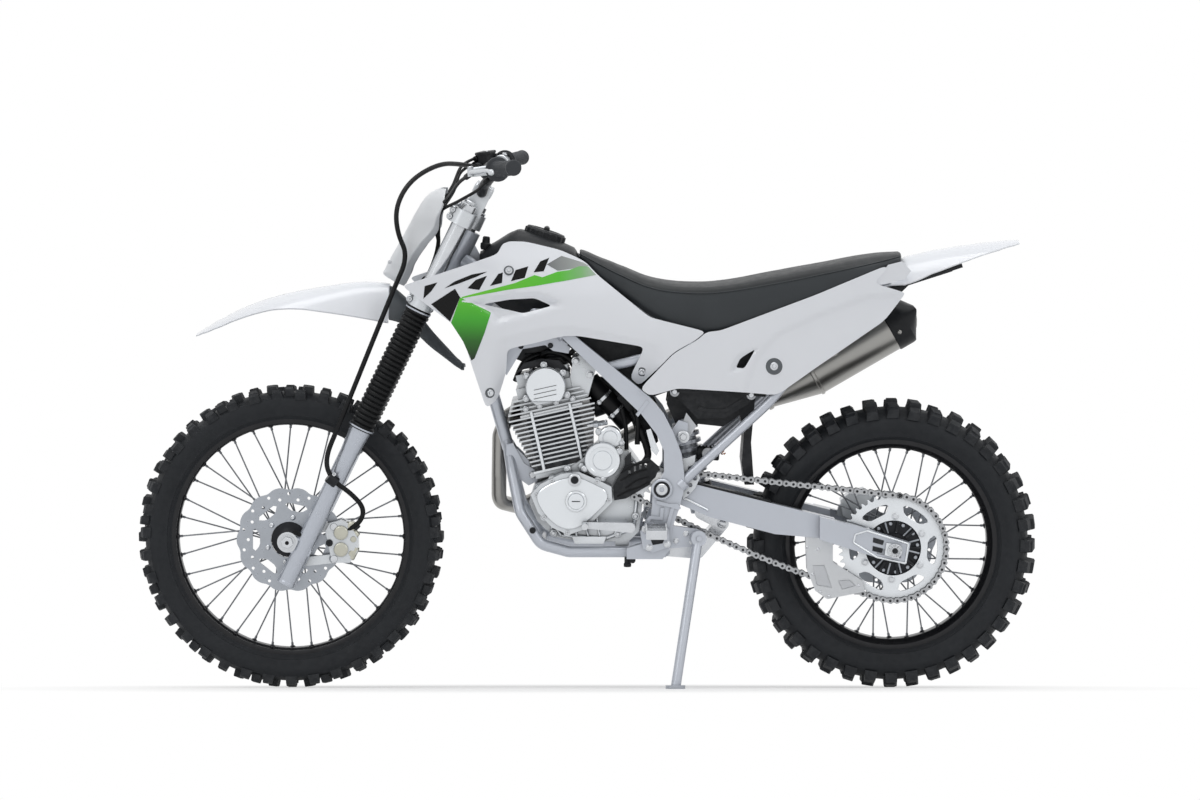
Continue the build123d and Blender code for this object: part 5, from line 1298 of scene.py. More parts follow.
def mounts(dark, plated, painted):
    """The head's hanger and the engine's front brackets, bolted on both sides."""
    for x, y, z, r, h in ((-34, 58, 747, 7, 6), (-2, 58, 716, 7, 6), (-182, 30, 517, 8.5, 8),
                          (-131, 30, 488, 8.5, 8)):
        for side in (-1, 1):
            plated.bolt((x, side * y, z), (0, side, 0), r, h)
    painted.pair([(-190, 556), (-176, 560), (-150, 514), (-124, 498), (-120, 474), (-140, 464), (-190, 500)],
                 30, 34)
    painted.pair([(-184, 776), (-141, 792), (-82, 806), (-44, 782), (-50, 765), (-84, 771), (-102, 784),
                  (-152, 775), (-188, 716), (-194, 724)], 66, 72)
    # painted shade: dark bosses for the hanger's holes
    for x, z in ((-156, 781), (-90, 783)):
        for side in (-1, 1):
            dark.boss((x, side * 72, z), (0, side, 0), 6, 0, 2)


def intake(dark, plated, rubber):
    """The intake boot with two clamps, and the hoses and wires behind the cylinder."""
    sweep(rubber, hermite([(-4, -20, 700), (24, -20, 668), (52, -20, 640), (84, -18, 604)], 6), 24, 24)
    for x, z in ((28, 662), (58, 632)):
        at = Vector((x, -20, z))
        plated.ring(at, (0.7, 0, -0.71), 24, 25.6, -3.5, 3.5, 40)
        plated.bolt(at + Vector((-9.35, -24.45, -9.35)), LEFT, 4, 6)
    for route, r in ((((-60, -30, 748), (-20, -46, 776), (40, -52, 730), (100, -60, 640), (104, -62, 560)),
                      6),
                     (((-120, -20, 742), (-96, -40, 766), (-50, -44, 752), (-18, -50, 700)), 7),
                     (((70, -58, 640), (78, -60, 600), (80, -62, 548)), 5),
                     (((92, -40, 630), (112, -58, 590), (128, -60, 540), (120, -64, 520)), 8),
                     (((-170, -26, 700), (-150, -40, 742), (-116, -30, 760), (-70, 10, 770)), 6)):
        sweep(rubber, hermite(route, 8), r, 12)
    plated.turned([(0, 6), (14, 6), (15, 9), (24, 9), (25, 6.5), (44, 6.5), (46, 5)], (-8, -58, 602),
                  (1, 0, 0.17), 6)
    # painted shade: a dark plate over the head's top, for the shade under the frame and hoses there
    dark.slab([(-168, 718), (-150, 742), (-112, 752), (-70, 748), (-46, 722), (-70, 730), (-110, 735),
               (-150, 728)], -54, 54)


def engine():
    """What the scene adds to the engine: its cylinder's core, covers, fasteners, brackets and hoses."""
    core, bright, dark, plated, rubber, painted = (Lump() for _ in range(6))
    # painted shade, in part: this dark block darkens the gaps between the fins, for the core's black paint
    # and for the shade in the gaps
    block(core, 17, 141.5, -54, 64, 56)
    left_covers(bright, dark, plated)
    case_and_studs(bright, plated)
    mounts(dark, plated, painted)
    intake(dark, plated, rubber)
    face = rounded([(-124, 450), (-106, 470), (-64, 489), (-28, 493), (12, 474), (36, 462), (38, 438),
                    (12, 412), (-16, 384), (-50, 372), (-82, 386), (-108, 414)], 0.25, 14)
    piece("stator_cover_face", plate_mesh([face], -114, -108, 2.2), ALLOY_POLISHED, "chassis",
          40)
    pieces("chassis", ("cylinder_core_dark", core, DARK_METAL, "engine_alloy", 30),
           ("engine_bright_fittings", bright, ALLOY_POLISHED, "engine_alloy", 38),
           ("engine_dark_fittings", dark, DARK_METAL, "black_metal", 38),
           ("engine_bolts", plated, STEEL, "bare_steel", 38),
           ("engine_hoses", rubber, RUBBER_SOFT, "black_rubber", 38),
           ("engine_brackets", painted, FRAME_PAINT, "frame_paint", 38))


engine()

# ---------------------------------------------------------------- handlebar and controls
GRIP_IN, GRIP_OUT = Vector((-201, -295, 1182)), Vector((-163, -417, 1189))
HOSE_END = Vector(HOSE[0])


def one_grip(side, grips, black, silver, steel):
    """A grip, its lever with perch, and the switch or throttle housing beside it."""
    inner, outer = [Vector((p.x, -side * p.y, p.z)) for p in (GRIP_IN, GRIP_OUT)]
    run = (outer - inner).normalized()
    length = (outer - inner).length
    profile = [(0, 12), (0, 26), (1, 27), (4.5, 27), (6, 25.5), (7.5, 19), (12, 16.8)]
    at = 15.0
    while at < length - 12:
        profile += [(at, 15.4), (at + 1, 16.6), (at + 3.8, 16.6), (at + 4.8, 15.4)]
        at += 6.2
    profile += [(length - 6, 17.2), (length, 17.4), (length + 2.4, 15.5), (length + 3, 0.1)]
    grips.turned(profile, inner, run, 40)
    ahead = Vector((-1, 0, -0.12)).normalized()
    ahead = (ahead - run * ahead.dot(run)).normalized()
    up = ahead.cross(run) * (1 if side < 0 else -1)
    # perch and lever
    at = inner - run * 19
    silver.clamp(at, run, 11.2, 18.5, 11)
    root = at + Vector((-52, 0, -6))
    for lift in (-5.5, 5.5):
        silver.rod(at + ahead * 14 + up * lift * 1.2, root + up * lift, 4.6, 12, 1)
    silver.rod(at + ahead * 15 - run * 9, at + ahead * 20 + run * 9, 5.5, 12, 1)
    silver.turned([(-9, 8), (9, 8)], root, up, 20)
    steel.bolt(root + up * 9, up, 6, 4, "cap")
    steel.bolt(at - ahead * 8 + up * 17, up, 5, 5)
    steel.bolt(at - ahead * 8 - up * 17, -up, 5, 5)
    tip = root + run * 150 + Vector((4, 0, -4))
    blade = hermite([root, root + run * 22 + ahead * 3, root + run * 70 + ahead * 1,
                     root + run * 112 - ahead * 4, tip - run * 6], 8)
    sweep(silver, blade, 5, 12, [6.6 - 2.4 * min(1, k / 26) for k in range(len(blade))])
    silver.turned([(-7, 0.5), (-6, 4.2), (-3, 6.4), (0, 7), (3, 6.4), (6, 4.2), (7, 0.5)], tip - run * 3,
                  run, 16)
    # switch or throttle housing between perch and grip, and inboard of the perch
    if side < 0:
        black.clamp(inner - run * 42, run, 12, 19, 11, 28, 2)
        black.rod(inner - run * 44 + ahead * 12 - up * 4, inner - run * 44 + ahead * 25 - up * 10, 9, 14, 2)
        black.rod(inner - run * 42 - up * 12, inner - run * 42 - up * 24, 8, 14, 2)
        steel.bolt(inner - run * 42 - ahead * 17, -ahead, 4, 3, "dome")
    else:
        black.turned([(-8, 12), (-8, 22), (-6, 24.5), (5, 24.5), (7, 22), (7, 12)], inner - run * 1, run, 32,
                     closed=True)
        black.rod(inner - run * 2 + ahead * 12 + up * 12, inner - run * 6 + ahead * 36 + up * 16, 9, 16, 2)
        black.rod(inner - run * 2 + ahead * 12 - up * 6, inner - run * 6 + ahead * 38 - up * 4, 7, 16, 2)
        steel.bolt(inner - run * 1 - up * 24, -up, 4, 4, "cap")
        # master cylinder from the lever to the hose's end, and its reservoir with a lid, ahead of the bar
        black.rod(HOSE_END + (root - HOSE_END) * 0.12, root, 9.5, 16, 2)
        black.rod(HOSE_END - Vector((0, 3, 0)), HOSE_END + (root - HOSE_END) * 0.2, 7, 6, 1)
        tank_at = at + ahead * 34 + up * 16 - run * 10
        rows = []
        for lift, size in ((-16, 0.86), (-12, 1.0), (8, 1.0), (8.2, 1.1), (13, 1.1), (14.5, 1.0)):
            rows.append([tank_at + up * lift + ahead * a * size + run * r * size for a, r in (
                (-17, -19), (-10, -25), (10, -25), (17, -19), (17, 19), (10, 25), (-10, 25), (-17, 19))])
        black.grid(rows, close_cols=True, caps=True)
        for a, r in ((-11, -19), (11, 19)):
            steel.bolt(tank_at + up * 14.5 + ahead * a + run * r, up, 3, 1.4, "dome")


def controls():
    """Grips, levers and housings on both sides, the bar's clamps, and what closes the fork's top."""
    lumps = grips, black, silver, steel = Lump(), Lump(), Lump(), Lump()
    for side in (-1, 1):
        one_grip(side, *lumps)
    bar = fork_point(-9, 0, 890)
    for side in (-1, 1):
        y = side * 42
        silver.clamp((bar.x, y, bar.z), RIGHT, 11.3, 20, 13, chamfer=1)
        for ahead in (-17, 17):
            for y_off in (-7, 7):
                foot = bar + FORK_X * ahead * 0.94 + Vector((0, y + y_off, 0)) + FORK_Z * 4
                silver.rod(foot - FORK_Z * 10, foot + FORK_Z * 8, 6.2, 12, 1)
                steel.bolt(foot + FORK_Z * 8, FORK_Z, 4.6, 5, "cap")
    # fork caps, stem nut and clamp bolts
    for side in (-1, 1):
        cap = fork_point(-FORK_OFFSET, side * LEG_Y, 852)
        steel.turned([(0, 18.6), (3, 18.6), (4.5, 16.5), (4.5, 13.5), (6, 13.5)], cap, FORK_Z, 28)
        steel.boss(cap, FORK_Z, 11, 6, 11, 6)
        for z in (815, 831, 611, 627):
            lug = fork_point(-FORK_OFFSET - 27, side * (LEG_Y + 8), z)
            silver.rod(lug - Vector((0, side * 22, 0)), lug + Vector((0, side * 6, 0)), 8.6, 16, 1.5)
            steel.bolt(lug + Vector((0, side * 6, 0)), (0, side, 0), 5, 5, "cap")
    nut = fork_point(0, 0, 846)
    steel.turned([(-6, 20), (0, 20), (1, 19), (1, 15), (4, 15)], nut, FORK_Z, 32)
    steel.boss(nut, FORK_Z, 17, 1, 12, 6, 1.5)
    sleeves = piece("grip_sleeves", parked(grips.mesh()), GRIP_RUBBER, "steering", 30,
                    park=False)
    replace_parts(sleeves, "grips")
    levers = piece("levers_and_clamps", parked(silver.mesh()), ALLOY, "steering", 35,
                   park=False)
    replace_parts(levers, "clutch_lever", "brake_lever")
    piece("bar_housings", black.mesh(), BLACK_PLASTIC, "steering", 35)
    piece("bar_bolts", parked(steel.mesh()), STEEL, "steering", 35, park=False)


controls()


# ---------------------------------------------------------------- front end
def front_end():
    """The axle's ends, the fork's rings and lips, and the front caliper's pistons and pins."""
    bright, dark, steel, nickel, pins = (Lump() for _ in range(5))
    for side in (-1, 1):
        out, end = Vector((0, side, 0)), from_front(0, side * 106, 0)
        steel.turned([(0, 23), (2.5, 23), (3, 21), (3, 17), (5, 17)], end, out, 36)
        steel.boss(end, out, 13.5, 3, 13, 6, 1.5)
        # painted shade: a dark disc in the axle's bore
        dark.turned([(13.5, 4.5), (14.4, 4.5), (14.4, 0.1)], end, out, 20)
        foot = FORK_FOOT + FORK_X * -FORK_OFFSET
        for dx, dz in ((2, 30), (10, 26)):
            pinch = (foot.x - 17 + dx, side * 108, foot.z + 8 + dz)
            dark.turned([(0, 5.2), (1.2, 5.2), (1.2, 0.1)], pinch, out, 18)
        # slider's end ring, dust lip and the boot's bands
        end_ring = fork_point(-FORK_OFFSET, side * LEG_Y, -88)
        bright.turned([(-1, 18), (0, 21.4), (7, 21.6), (8, 21)], end_ring, FORK_Z, 40)
        for z in (299, 590):
            band = fork_point(-FORK_OFFSET, side * LEG_Y, z)
            dark.boss(band, FORK_Z, 29, 0, 8, 40, 2)
            bright.ring(band, FORK_Z, 29, 29.8, 2.4, 5.8, 40)
    r = 9.5
    for z in (32, -40):
        steel.turned([(-2, r + 2), (0, r + 2), (1.5, r + 1), (2, r), (5.5, r * 0.8), (6.5, r * 0.4),
                      (6.7, 0.1)],
                     from_front(102.5, -84, z), LEFT, 28)
    for z in (-19, 19):
        nickel.turned([(-6, 16), (0, 16), (1.4, 14.6), (2, 12), (2.4, 0.1)], from_front(118, -91, z), LEFT,
                      36)
    nickel.turned([(-14, 10), (2, 10), (3, 8.5), (3, 0.1)], from_front(143, -86, 34), LEFT, 24)
    nickel.boss(from_front(142, -86, -28), LEFT, 7, -14, 2, 20)
    nickel.boss(from_front(146, -86, 4), LEFT, 7, -14, 2, 20)
    nickel.rod(from_front(128, -80, 40), from_front(156, -80, 10), 8, 14, 2)
    nickel.rod(from_front(140, -82, -42), from_front(154, -82, -14), 7, 14, 2)
    guide = from_front(103, -131, 143)
    pins.turned([(0, 8), (4, 8), (5, 6.5), (5, 3), (3, 3), (3, 0.1)], from_front(92, -86, -4), LEFT, 20)
    pins.rod(from_front(150, -90, 26), from_front(160, -94, 36), 4, 12, 1)
    pins.turned([(-12, 12), (-8, 13), (8, 13), (12, 12)], guide, (0.75, 0.15, -0.64), 20)
    pins.rod(from_front(96, -118, 146), guide, 7, 12, 1)
    steel.bolt(from_front(108, -140, 156), (0, -1, 0.3), 4.4, 4, "cap")
    pieces("steering", ("fork_rings", dark, RUBBER_SOFT, "black_rubber", 35),
           ("caliper_pistons", nickel, NICKEL, "bare_steel", 35),
           ("caliper_pins", pins, DARK_METAL, "black_metal", 35),
           ("front_axle_nuts", steel, STEEL, "bare_steel", 35),
           ("fork_lips", bright, ALLOY_SATIN, "fork_alloy", 35))


front_end()


# ---------------------------------------------------------------- frame, footrests and rear suspension
def footrest_teeth(steel, side):
    """A rail down each long edge, notched, and cross ribs between."""
    for x in (123, 167):
        for k in range(12):
            y = side * (131 + 7.4 * k)
            rows = []
            for half, near, far, z in ((2.2, 0, 5, 384), (1.4, 1.6, 3.4, 391)):
                rows.append([Vector((x + half * turn, y + side * at, z))
                             for turn, at in ((-1, near), (1, near), (1, far), (-1, far))])
            steel.grid(rows, close_cols=True, caps=True)
    for k in range(3):
        y = side * (150 + 26 * k)
        steel.slab([(125, 386), (165, 386), (165, 388.5), (125, 388.5)], y, y + side * 3)


def spar_trim(side, dark, steel, paint):
    """The pivot's cover, the ribs of the spar's lower casting with their pocket, and the bolts there."""
    out = Vector((0, side, 0))
    at = Vector((158, side * 126, 466))
    pocket = 131.6 if side < 0 else 121.6
    paint.turned([(-3, 24), (2, 24), (4, 22), (4.2, 19), (2.8, 17.8)], at, out, 40)
    dark.turned([(2.6, 18), (3.2, 18), (3.2, 12)], at, out, 36)
    steel.turned([(0, 13), (4, 13), (5.5, 11.5), (5.5, 5.5), (3.5, 5.5)], at, out, 30)
    # painted shade: a dark disc in the pivot nut's bore
    dark.turned([(3.4, 5.6), (3.6, 5.6), (3.6, 0.1)], at, out, 18)
    paint.slab([(100, 633), (124, 666), (130, 661), (105, 628)], side * 97, side * 123.4)
    for strip in ([(146, 441), (174, 434), (193, 434), (201, 424), (196, 420), (176, 426), (146, 433)],
                  [(155, 425), (163, 425), (160, 397), (134, 399), (128, 391), (118, 362), (136, 333),
                   (130, 329), (110, 360), (124, 398), (131, 407), (154, 405)],
                  [(178, 424), (186, 424), (172, 372), (160, 336), (152, 336), (165, 374)]):
        paint.slab(strip, side * 121.5, side * 125.5)
    # painted shade: a dark plate in the casting's pocket
    dark.slab([(126, 374), (134, 386), (160, 385), (170, 368), (160, 346), (138, 342)],
              side * pocket, side * (pocket + 1))
    for x, z in ((121, 378), (170, 344), (130, 336)):
        steel.bolt((x, side * (pocket + 0.4), z), out, 6, 4.5)


def rear_joints(side, steel, paint, grey):
    """The shock's upper bolt, the linkage's bolts and the subframe's joints."""
    out = Vector((0, side, 0))
    upper = Vector((206, side * 98.5, 581))
    steel.turned([(0, 14), (3, 14), (4, 12.5), (4, 8)], upper, out, 30)
    steel.boss(upper, out, 8, 3, 9, 6)
    paint.turned([(0, 15.5), (14, 15.5), (16, 13)], (198, side * 111, 472), (0.72, -side * 0.022, 0.69), 28)
    for x, z in ((241, 312), (296, 377), (166, 321)):
        steel.bolt((x, side * 28, z), out, 9, 6)
    for x, z in ((187, 680), (358, 673)):
        grey.turned([(0, 10.5), (2, 10.5), (3, 9), (3, 7)], (x, side * 84.5, z), out, 26)
        steel.boss((x, side * 84.5, z), out, 6.5, 2, 5, 6, 1.1)


def airbox_trim(black, grey):
    """Pleats and rim of the air box, and dark plates inside the bodywork."""
    black.pair([(176, 689), (240, 684), (335, 682), (392, 676), (389, 669), (335, 674), (240, 676),
                (180, 680)], 84.5, 88)
    black.pair([(238, 640), (262, 634), (300, 634), (342, 660), (338, 666), (298, 642), (262, 642),
                (242, 648)], 84.5, 87)
    black.pair([(-40, 806), (20, 800), (110, 781), (118, 768), (102, 750), (52, 732), (-2, 776)], 52, 58)
    black.pair([(60, 728), (92, 748), (112, 700), (134, 676), (150, 640), (128, 650), (86, 694)], 60, 66)
    grey.pair([(213, 634), (236, 604), (222, 582), (201, 600)], 86, 90)
    black.pair([(-42, 800), (108, 682), (142, 640), (124, 640), (94, 664), (-52, 784)], 72, 80)
    black.pair([(176, 690), (170, 650), (190, 606), (214, 572), (240, 606), (296, 600), (334, 626),
                (326, 650), (240, 640)], 40, 62)


def shock_and_pegs(black, grey, steel):
    """The shock's foot and reservoir, the brake's spring, the stand's stop and bolts, the chain's slider."""
    along = (Vector((250, 0, 402)) - Vector((206, 0, 604))).normalized()
    black.turned([(0, 34), (10, 36), (16, 34.5), (22, 36), (28, 34.5), (34, 36), (44, 30)],
                 Vector((250, 0, 402)) - along * 66, along, 36)
    black.rod((237, -52, 541), (288, -52, 537), 15, 24, 2)
    for k in range(6):
        black.turned([(0, 16.4), (3, 16.4)], (241 + 8 * k, -52, 541), (1, 0, -0.08), 24)
    grey.boss((262, -66, 540), LEFT, 13, 0, 6, 26, 2)
    coil = []
    for k in range(64):
        t = 2 * pi * k / 12
        coil.append(Vector((282, -62, 562)) + Vector((0.55, 0, -0.83)) * (0.48 * k)
                    + Vector((cos(t) * 4.4 * 0.83, sin(t) * 4.4, cos(t) * 4.4 * 0.55)))
    copper = Lump()
    sweep(copper, coil, 1.1, 6)
    piece("brake_spring", copper.mesh(), COPPER, "chassis", 60)
    black.turned([(0, 7), (14, 7), (16, 8.5), (22, 8.5), (23, 7)], (82, -88, 310), (0, 0, -1), 20)
    for x, z in ((93, 304), (-130, 371)):
        black.boss((x, -98, z), LEFT, 7, 0, 6, 18, 1.5)
    for x, z in ((190, 350), (212, 366), (226, 348)):
        steel.bolt((x, -120, z), LEFT, 5, 4)
    black.slab([(196, 484), (234, 478), (330, 455), (402, 437), (402, 430), (330, 447), (234, 469),
                (196, 474)], -94, -70)


def axle_from(points):
    """Outline corners given from the rear axle."""
    return [(REAR_AXLE.x + x, REAR_AXLE.z + z) for x, z in points]


def swingarm_end(side, bright, dark, steel):
    """The swingarm's weld bead and the ribs, pockets, adjuster and nut round its axle."""
    out = Vector((0, side, 0))
    y_face = side * 124
    weld = [(200, side * 97, 444), (214, side * 97.4, 441), (232, side * 97.4, 432), (262, side * 97, 416)]
    sweep(bright, weld, 3, 8)
    outline = axle_from([(-88, 36), (-62, 44), (30, 15), (24, -29), (-40, -15), (-92, 18)])
    for a, b in zip(outline, outline[1:] + outline[:1]):
        bright.rod((a[0], y_face, a[1]), (b[0], y_face, b[1]), 2.6, 8)
    # painted shade: dark plates in the pockets round the axle
    for pocket in ([(-48, 29), (-24, 22), (-27, 12), (-49, 18)], [(-49, 10), (-26, 4), (-29, -6), (-50, -1)]):
        dark.slab(axle_from(pocket), y_face, y_face + side * 0.9)
    bright.slab(axle_from([(-19, 18), (12, 12), (9, -18), (-23, -10)]), y_face, y_face + side * 6)
    steel.rod(from_rear(-72, side * 118, 24), from_rear(-18, side * 118, 9), 4.5, 12, 1)
    nut = from_rear(0, side * 130, 0)
    steel.turned([(0, 16), (3, 16), (4, 14.5), (4, 9)], nut, out, 36)
    # painted shade: a dark disc in the nut's bore
    dark.turned([(3.9, 6.5), (4.3, 6.5), (4.3, 0.1)], nut, out, 24)


def chain_guide_trim(grey, steel):
    """The chain guide's two clear windows with their rims, and its rivets."""
    for window in ([(496, 291), (522, 292), (539, 242), (506, 248)],
                   [(554, 257), (580, 258), (592, 246), (563, 238)]):
        centre = [sum(c) / 4 for c in zip(*window)]
        grey.slab([(x + (centre[0] - x) * 0.03, z + (centre[1] - z) * 0.03) for x, z in window], -97.2, -95.4)
    for x, z in ((484, 333), (508, 328), (496, 272), (514, 232), (534, 222), (600, 246)):
        steel.bolt((x, -96.2, z), LEFT, 3.2, 1.6, "dome")


def frame_trim():
    """What the scene adds to the frame, the footrests and the swingarm."""
    bright, dark, steel, paint, black, grey = (Lump() for _ in range(6))
    for side in (-1, 1):
        spar_trim(side, dark, steel, paint)
        footrest_teeth(steel, side)
        rear_joints(side, steel, paint, grey)
        swingarm_end(side, bright, dark, steel)
    airbox_trim(black, grey)
    shock_and_pegs(black, grey, steel)
    chain_guide_trim(grey, steel)
    steel.boss(from_rear(0, 126, 0), RIGHT, 14, 4, 8, 6, 1.5)
    plate = [(200, 532), (214, 534), (233, 541), (232, 514), (244, 490), (233, 466), (218, 450), (204, 440),
             (207, 500)]
    drillings = [[(217, 514), (229, 518), (227, 504), (217, 501)], circle(232, 489, 5.5, 20),
                 circle(222, 473, 4.5, 16), circle(217, 456, 3, 12)]
    piece("drilled_plate", plate_mesh([plate, *drillings], -104, -100, 0.6), ALLOY, "chassis",
          30)
    pieces("chassis", ("frame_dark_parts", dark, DARK_METAL, "black_metal", 35),
           ("frame_bolts", steel, STEEL, "bare_steel", 35),
           ("frame_ribs", paint, FRAME_PAINT, "frame_paint", 35),
           ("swingarm_ribs", bright, ALLOY_POLISHED, "bare_steel", 35),
           ("chassis_plastics", black, BLACK_PLASTIC, "black_plastic", 35),
           ("chassis_grey_trim", grey, LIGHT_GREY, "grey_plastic", 35))


frame_trim()


# ---------------------------------------------------------------- silencer, tail and filler cap
def silencer():
    """The bands and rear cap of the silencer, with its outlet."""
    axis, up = Vector((199, 0, 116)).normalized(), Vector((-116, 0, 199)).normalized()
    start = Vector((400, 138, 640))
    steel, black = Lump(), Lump()
    steel.turned([(119, 51.5), (121, 54.5), (127, 54.5), (129, 52)], start, axis, 64)
    steel.turned([(-2, 24), (0, 25.5), (8, 25.5), (10, 24)], start, axis, 40)
    for t in turns(3, 2 * pi * 0.2 / 3):
        off = Matrix.Rotation(t, 3, axis) @ axis.orthogonal().normalized()
        steel.bolt(start + axis * 342 + off * 54.6, off, 5.5, 3, "dome")
    rows = []
    for place, slant, across, wide, shift in (
            (326, 0, 52.8, 52.8, 0), (328, 0, 54.6, 54.6, 0), (362, 0, 54.6, 54.6, 0), (368, 0, 53, 53.5, 0),
            (377, 5, 45, 47, 0), (401, 0, 7, 38, 12), (402, 0, 2, 34, 12)):
        rows.append([start + axis * (place + slant * cos(t)) + up * (shift + across * cos(t))
                     + Vector((0, wide * sin(t), 0)) for t in turns(48)])
    black.grid(rows, close_cols=True, caps=True)
    outlet = start + axis * 386.5 - up * 16
    facing = (axis * 0.857 - up * 0.517).normalized()
    steel.turned([(-3, 12), (2.2, 12), (3, 13.5), (2.2, 15), (-3, 15)], outlet, facing, 40, closed=True)
    black.turned([(0.6, 12), (0.9, 11), (0.9, 0.1)], outlet, facing, 30)
    pieces("chassis", ("silencer_band", steel, EXHAUST, "exhaust_steel", 40),
           ("silencer_cap", black, BLACK_PLASTIC, "black_plastic", 30))


def tail_underside():
    """The dark tray under the rear fender, with its ribs."""
    tail = Lump()
    tail.slab([(626, 914), (640, 924), (700, 934), (826, 968), (830, 957), (790, 944), (716, 924), (694, 902),
               (676, 904)], -62, 62)
    for y in (-62, -30, 0, 30, 62):
        tail.slab([(690, 926), (812, 960), (806, 948), (700, 914)], y - 2, y + 2)
    pieces("chassis", ("tail_underside", tail, BLACK_PLASTIC, "black_plastic", 30))


def filler_cap():
    """The fuel cap: a domed disc with grip ribs round it and a bar across."""
    axis, foot = Vector((28, 0, 88)).normalized(), Vector((-106, 0, 1017))
    cap = Lump()
    cap.turned([(0, 40), (2, 45), (17, 45), (21, 42), (22, 33), (20, 31), (20, 0.1)], foot, axis, 72)
    for t in turns(18):
        edge = foot + Matrix.Rotation(t, 3, axis) @ axis.orthogonal().normalized() * 44.4
        cap.rod(edge + axis * 4, edge + axis * 17, 3, 8, 1)
    cap.rod(foot + LEFT * 24 + axis * 23, foot + RIGHT * 24 + axis * 23, 7, 14, 3)
    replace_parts(piece("filler_cap", cap.mesh(), BLACK_PLASTIC, "chassis", 35), "fuel_cap")


silencer()
tail_underside()
filler_cap()


# ---------------------------------------------------------------- right-hand covers
def right_covers():
    """Clutch cover's face, oil filter cover, cam cover and the brake pedal's arm, with their bolts."""
    bright, steel = Lump(), Lump()
    bright.turned([(0, 62), (1.5, 62), (3, 60), (3, 44), (2, 43), (2, 28), (3, 27), (3.4, 0.1)],
                  (15, 111, 445), RIGHT, 64)
    for t in turns(9, 2 * pi * 0.4 / 9):
        at = Vector((15, 105, 445)) + radial(t) * 66
        bright.boss(at, RIGHT, 8.5, -8, 2)
        steel.bolt(at + RIGHT * 3, RIGHT, 4.8, 5)
    bright.turned([(-2, 26), (4, 26), (5.5, 24), (5.5, 12), (7, 11), (7, 0.1)], (-72, 95, 478), RIGHT, 44)
    for t in turns(3, 0.5):
        steel.bolt(Vector((-72, 99, 478)) + radial(t) * 22, RIGHT, 4.4, 4.5)
    for across, s in ((-46, 158), (0, 158), (50, 158), (-50, 20), (54, 20)):
        steel.bolt(up_cylinder(s, across, 58), RIGHT, 5, 5)
    bright.turned([(50, 40), (66, 40), (69, 37), (69, 0.1)], CAM, RIGHT, 48)
    for turn in (40, 150, 265):
        steel.bolt(CAM + RIGHT * 69 + radial(radians(turn)) * 34, RIGHT, 4.6, 4)
    sweep(steel, hermite([(176, 140, 350), (90, 140, 350), (0, 140, 353), (-26, 142, 356)], 6), 5, 10)
    steel.boss((176, 136, 350), RIGHT, 15, 0, 6, 26, 2)
    pieces("chassis", ("right_covers", bright, ALLOY, "engine_alloy", 38),
           ("right_bolts", steel, STEEL, "bare_steel", 35))


right_covers()


# ---------------------------------------------------------------- tail cheeks, guard ribs and cables
def tail_cheeks():
    """The rear fender's cheeks under the seat's tail, and the seam on each."""
    outline = [(618, 918), (632, 936), (659, 964), (692, 972), (712, 950), (699, 932), (652, 921)]
    cheeks, seams = Lump(), Lump()
    for side in (-1, 1):
        cheek = Lump()
        cheek.slab(outline, -1.3, 1.3)
        cheeks.add([(x, side * (98 - 0.125 * (x - 618)) + y, z) for x, y, z in cheek.verts], cheek.faces)
        seam = [Vector((x, side * (99.6 - 0.125 * (x - 618)), z)) for x, z in outline[2::-1]]
        sweep(seams, hermite(seam, 6), 1.0, 8)
    pieces("chassis", ("rear_fender_cheeks", cheeks, WHITE, "white_plastic", 30),
           ("rear_fender_seams", seams, BLACK_PLASTIC, "black_plastic", 30))


def guard_ribs():
    """Four raised lines on the sprocket guard, each with three studs at its front."""
    ribs = Lump()
    for line in ([(67, 483), (95, 498), (125, 508)], [(68, 501), (95, 516), (131, 525)],
                 [(78, 466), (103, 483), (129, 491)],
                 [(60, 447), (80, 458), (108, 468), (129, 480)]):
        sweep(ribs, hermite([Vector((x, -98, z)) for x, z in line], 6), 1.9, 8)
        x, z = line[0]
        for k in range(3):
            ribs.rod((x + 6 * k, -96, z + 3.4 * k), (x + 6 * k, -99, z + 3.4 * k), 1.4, 8)
    pieces("chassis", ("sprocket_guard_ribs", ribs, RUBBER_SOFT, "black_plastic", 35))


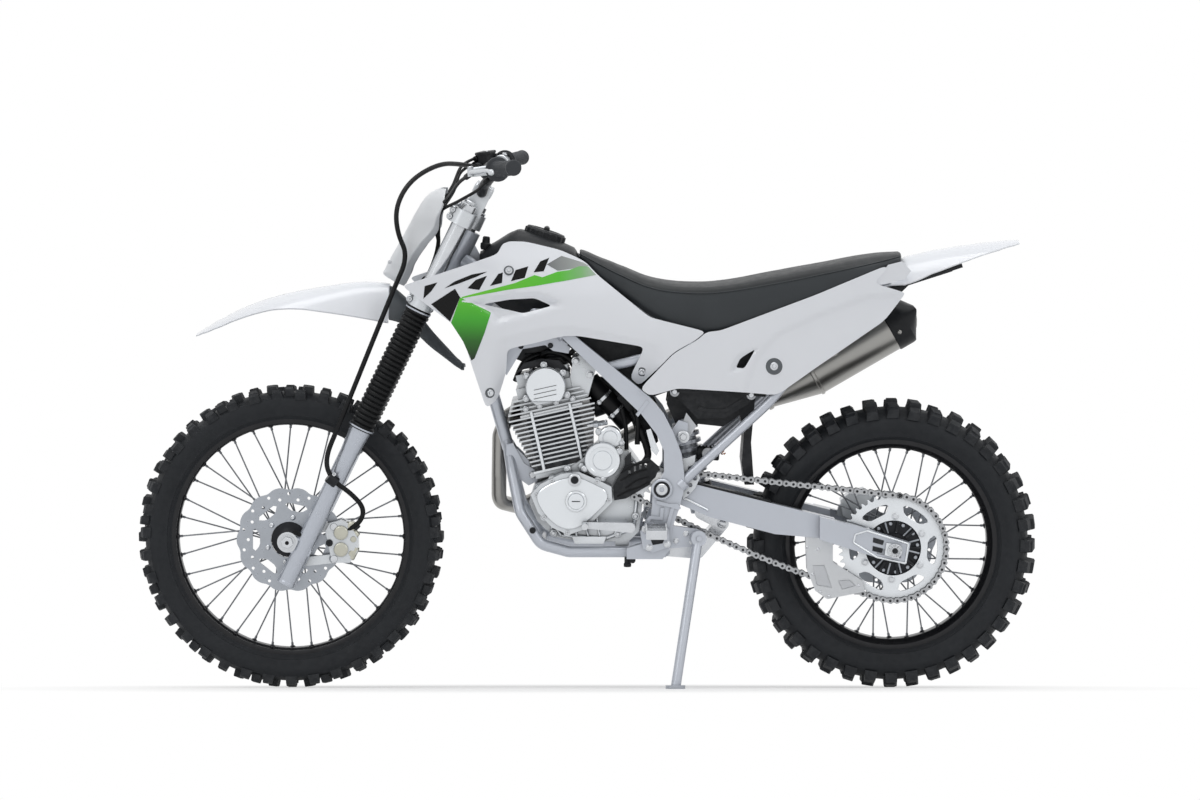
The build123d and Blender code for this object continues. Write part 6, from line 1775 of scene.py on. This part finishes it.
def wires_ducts_and_painted_shade():
    """Dark rods for wires, and dark plates that fill the space behind the cylinder and over its head: part
    ducts, part painted shade.
    """
    lump = Lump()
    # painted shade, in part: these dark plates darken the space below the spar and over the head, where shade
    # lies
    lump.slab([(16, 706), (52, 706), (112, 646), (146, 600), (152, 562), (128, 540), (108, 566), (92, 606),
               (60, 640), (22, 676)], -14, 14)
    lump.slab([(-176, 752), (-152, 771), (-102, 779), (-60, 764), (-36, 742), (-60, 738), (-110, 748),
               (-150, 742)], -30, 30)
    for y in (-14, 14):
        lump.rod((60, y, 690), (140, y, 604), 9, 16, 2)
        lump.rod((-150, y * 2, 756), (-60, y * 2, 760), 7, 14, 2)
    lump.turned([(-6, 10), (0, 12), (8, 12), (10, 9), (22, 8), (24, 6)], (-236, -18, 1000), (0.1, 0, 1), 20)
    pieces("chassis", ("intake_wires_and_painted_shade", lump, BLACK_PLASTIC, "black_plastic", 35))


def control_cables():
    """Cables from the levers and the throttle, ahead of the clamps, into a guide on the lower clamp."""
    guide = fork_point(-30, 0, 652)
    cables = Lump()
    for r, *route in (
            (4.0, (-262, -268, 1170), (-288, -206, 1150), (-310, -128, 1120), (-336, -62, 1084),
             (-342, -28, 1010)),
            (3.6, (-222, -236, 1160), (-244, -200, 1136), (-290, -140, 1108), (-334, -66, 1082),
             (-346, -30, 1044), (-342, -14, 1004)),
            (3.6, (-256, 285, 1196), (-296, 200, 1176), (-314, 112, 1134), (-342, 42, 1080),
             (-344, 20, 1010)),
            (3.6, (-258, 288, 1184), (-298, 196, 1162), (-312, 104, 1120), (-342, 32, 1066),
             (-342, 10, 1006))):
        line = [Vector(p) for p in route]
        end = guide + Vector((-6, line[-1].y * 0.5, 6))
        cables.rod(line[0], line[0] + (line[1] - line[0]) * 0.34, r + 2.6, 14, 2)
        line += [(line[-1] + end) / 2 + Vector((4, 0, 0)), end]
        sweep(cables, hermite(line, 8), r, 12)
    cables.rod(guide + Vector((-4, -18, 4)), guide + Vector((-4, 18, 4)), 12, 18, 3)
    cables.rod((-348, -44, 1040), (-348, 34, 1040), 6, 12, 2)
    pieces("steering", ("control_cables", cables, RUBBER_SOFT, "black_rubber", 40))


def hub_webs():
    """Ribs and bolts on the rear hub, behind the sprocket."""
    webs = Lump()
    foot = from_rear(0, -80.5, 0)
    for t in turns(12, pi / 12):
        out, across = radial(t), radial(t + pi / 2)
        webs.rod(foot + out * 35 + across * 3, foot + out * 60 + across * 3, 2.2, 8)
        webs.turned([(0, 4), (2.4, 4), (3.2, 3)], foot + out * 54 - across * 8, LEFT, 12)
    pieces("rear_wheel", ("rear_hub_webs", webs, DISC_STEEL, "black_metal", 35))


tail_cheeks()
guard_ribs()
wires_ducts_and_painted_shade()
control_cables()
hub_webs()
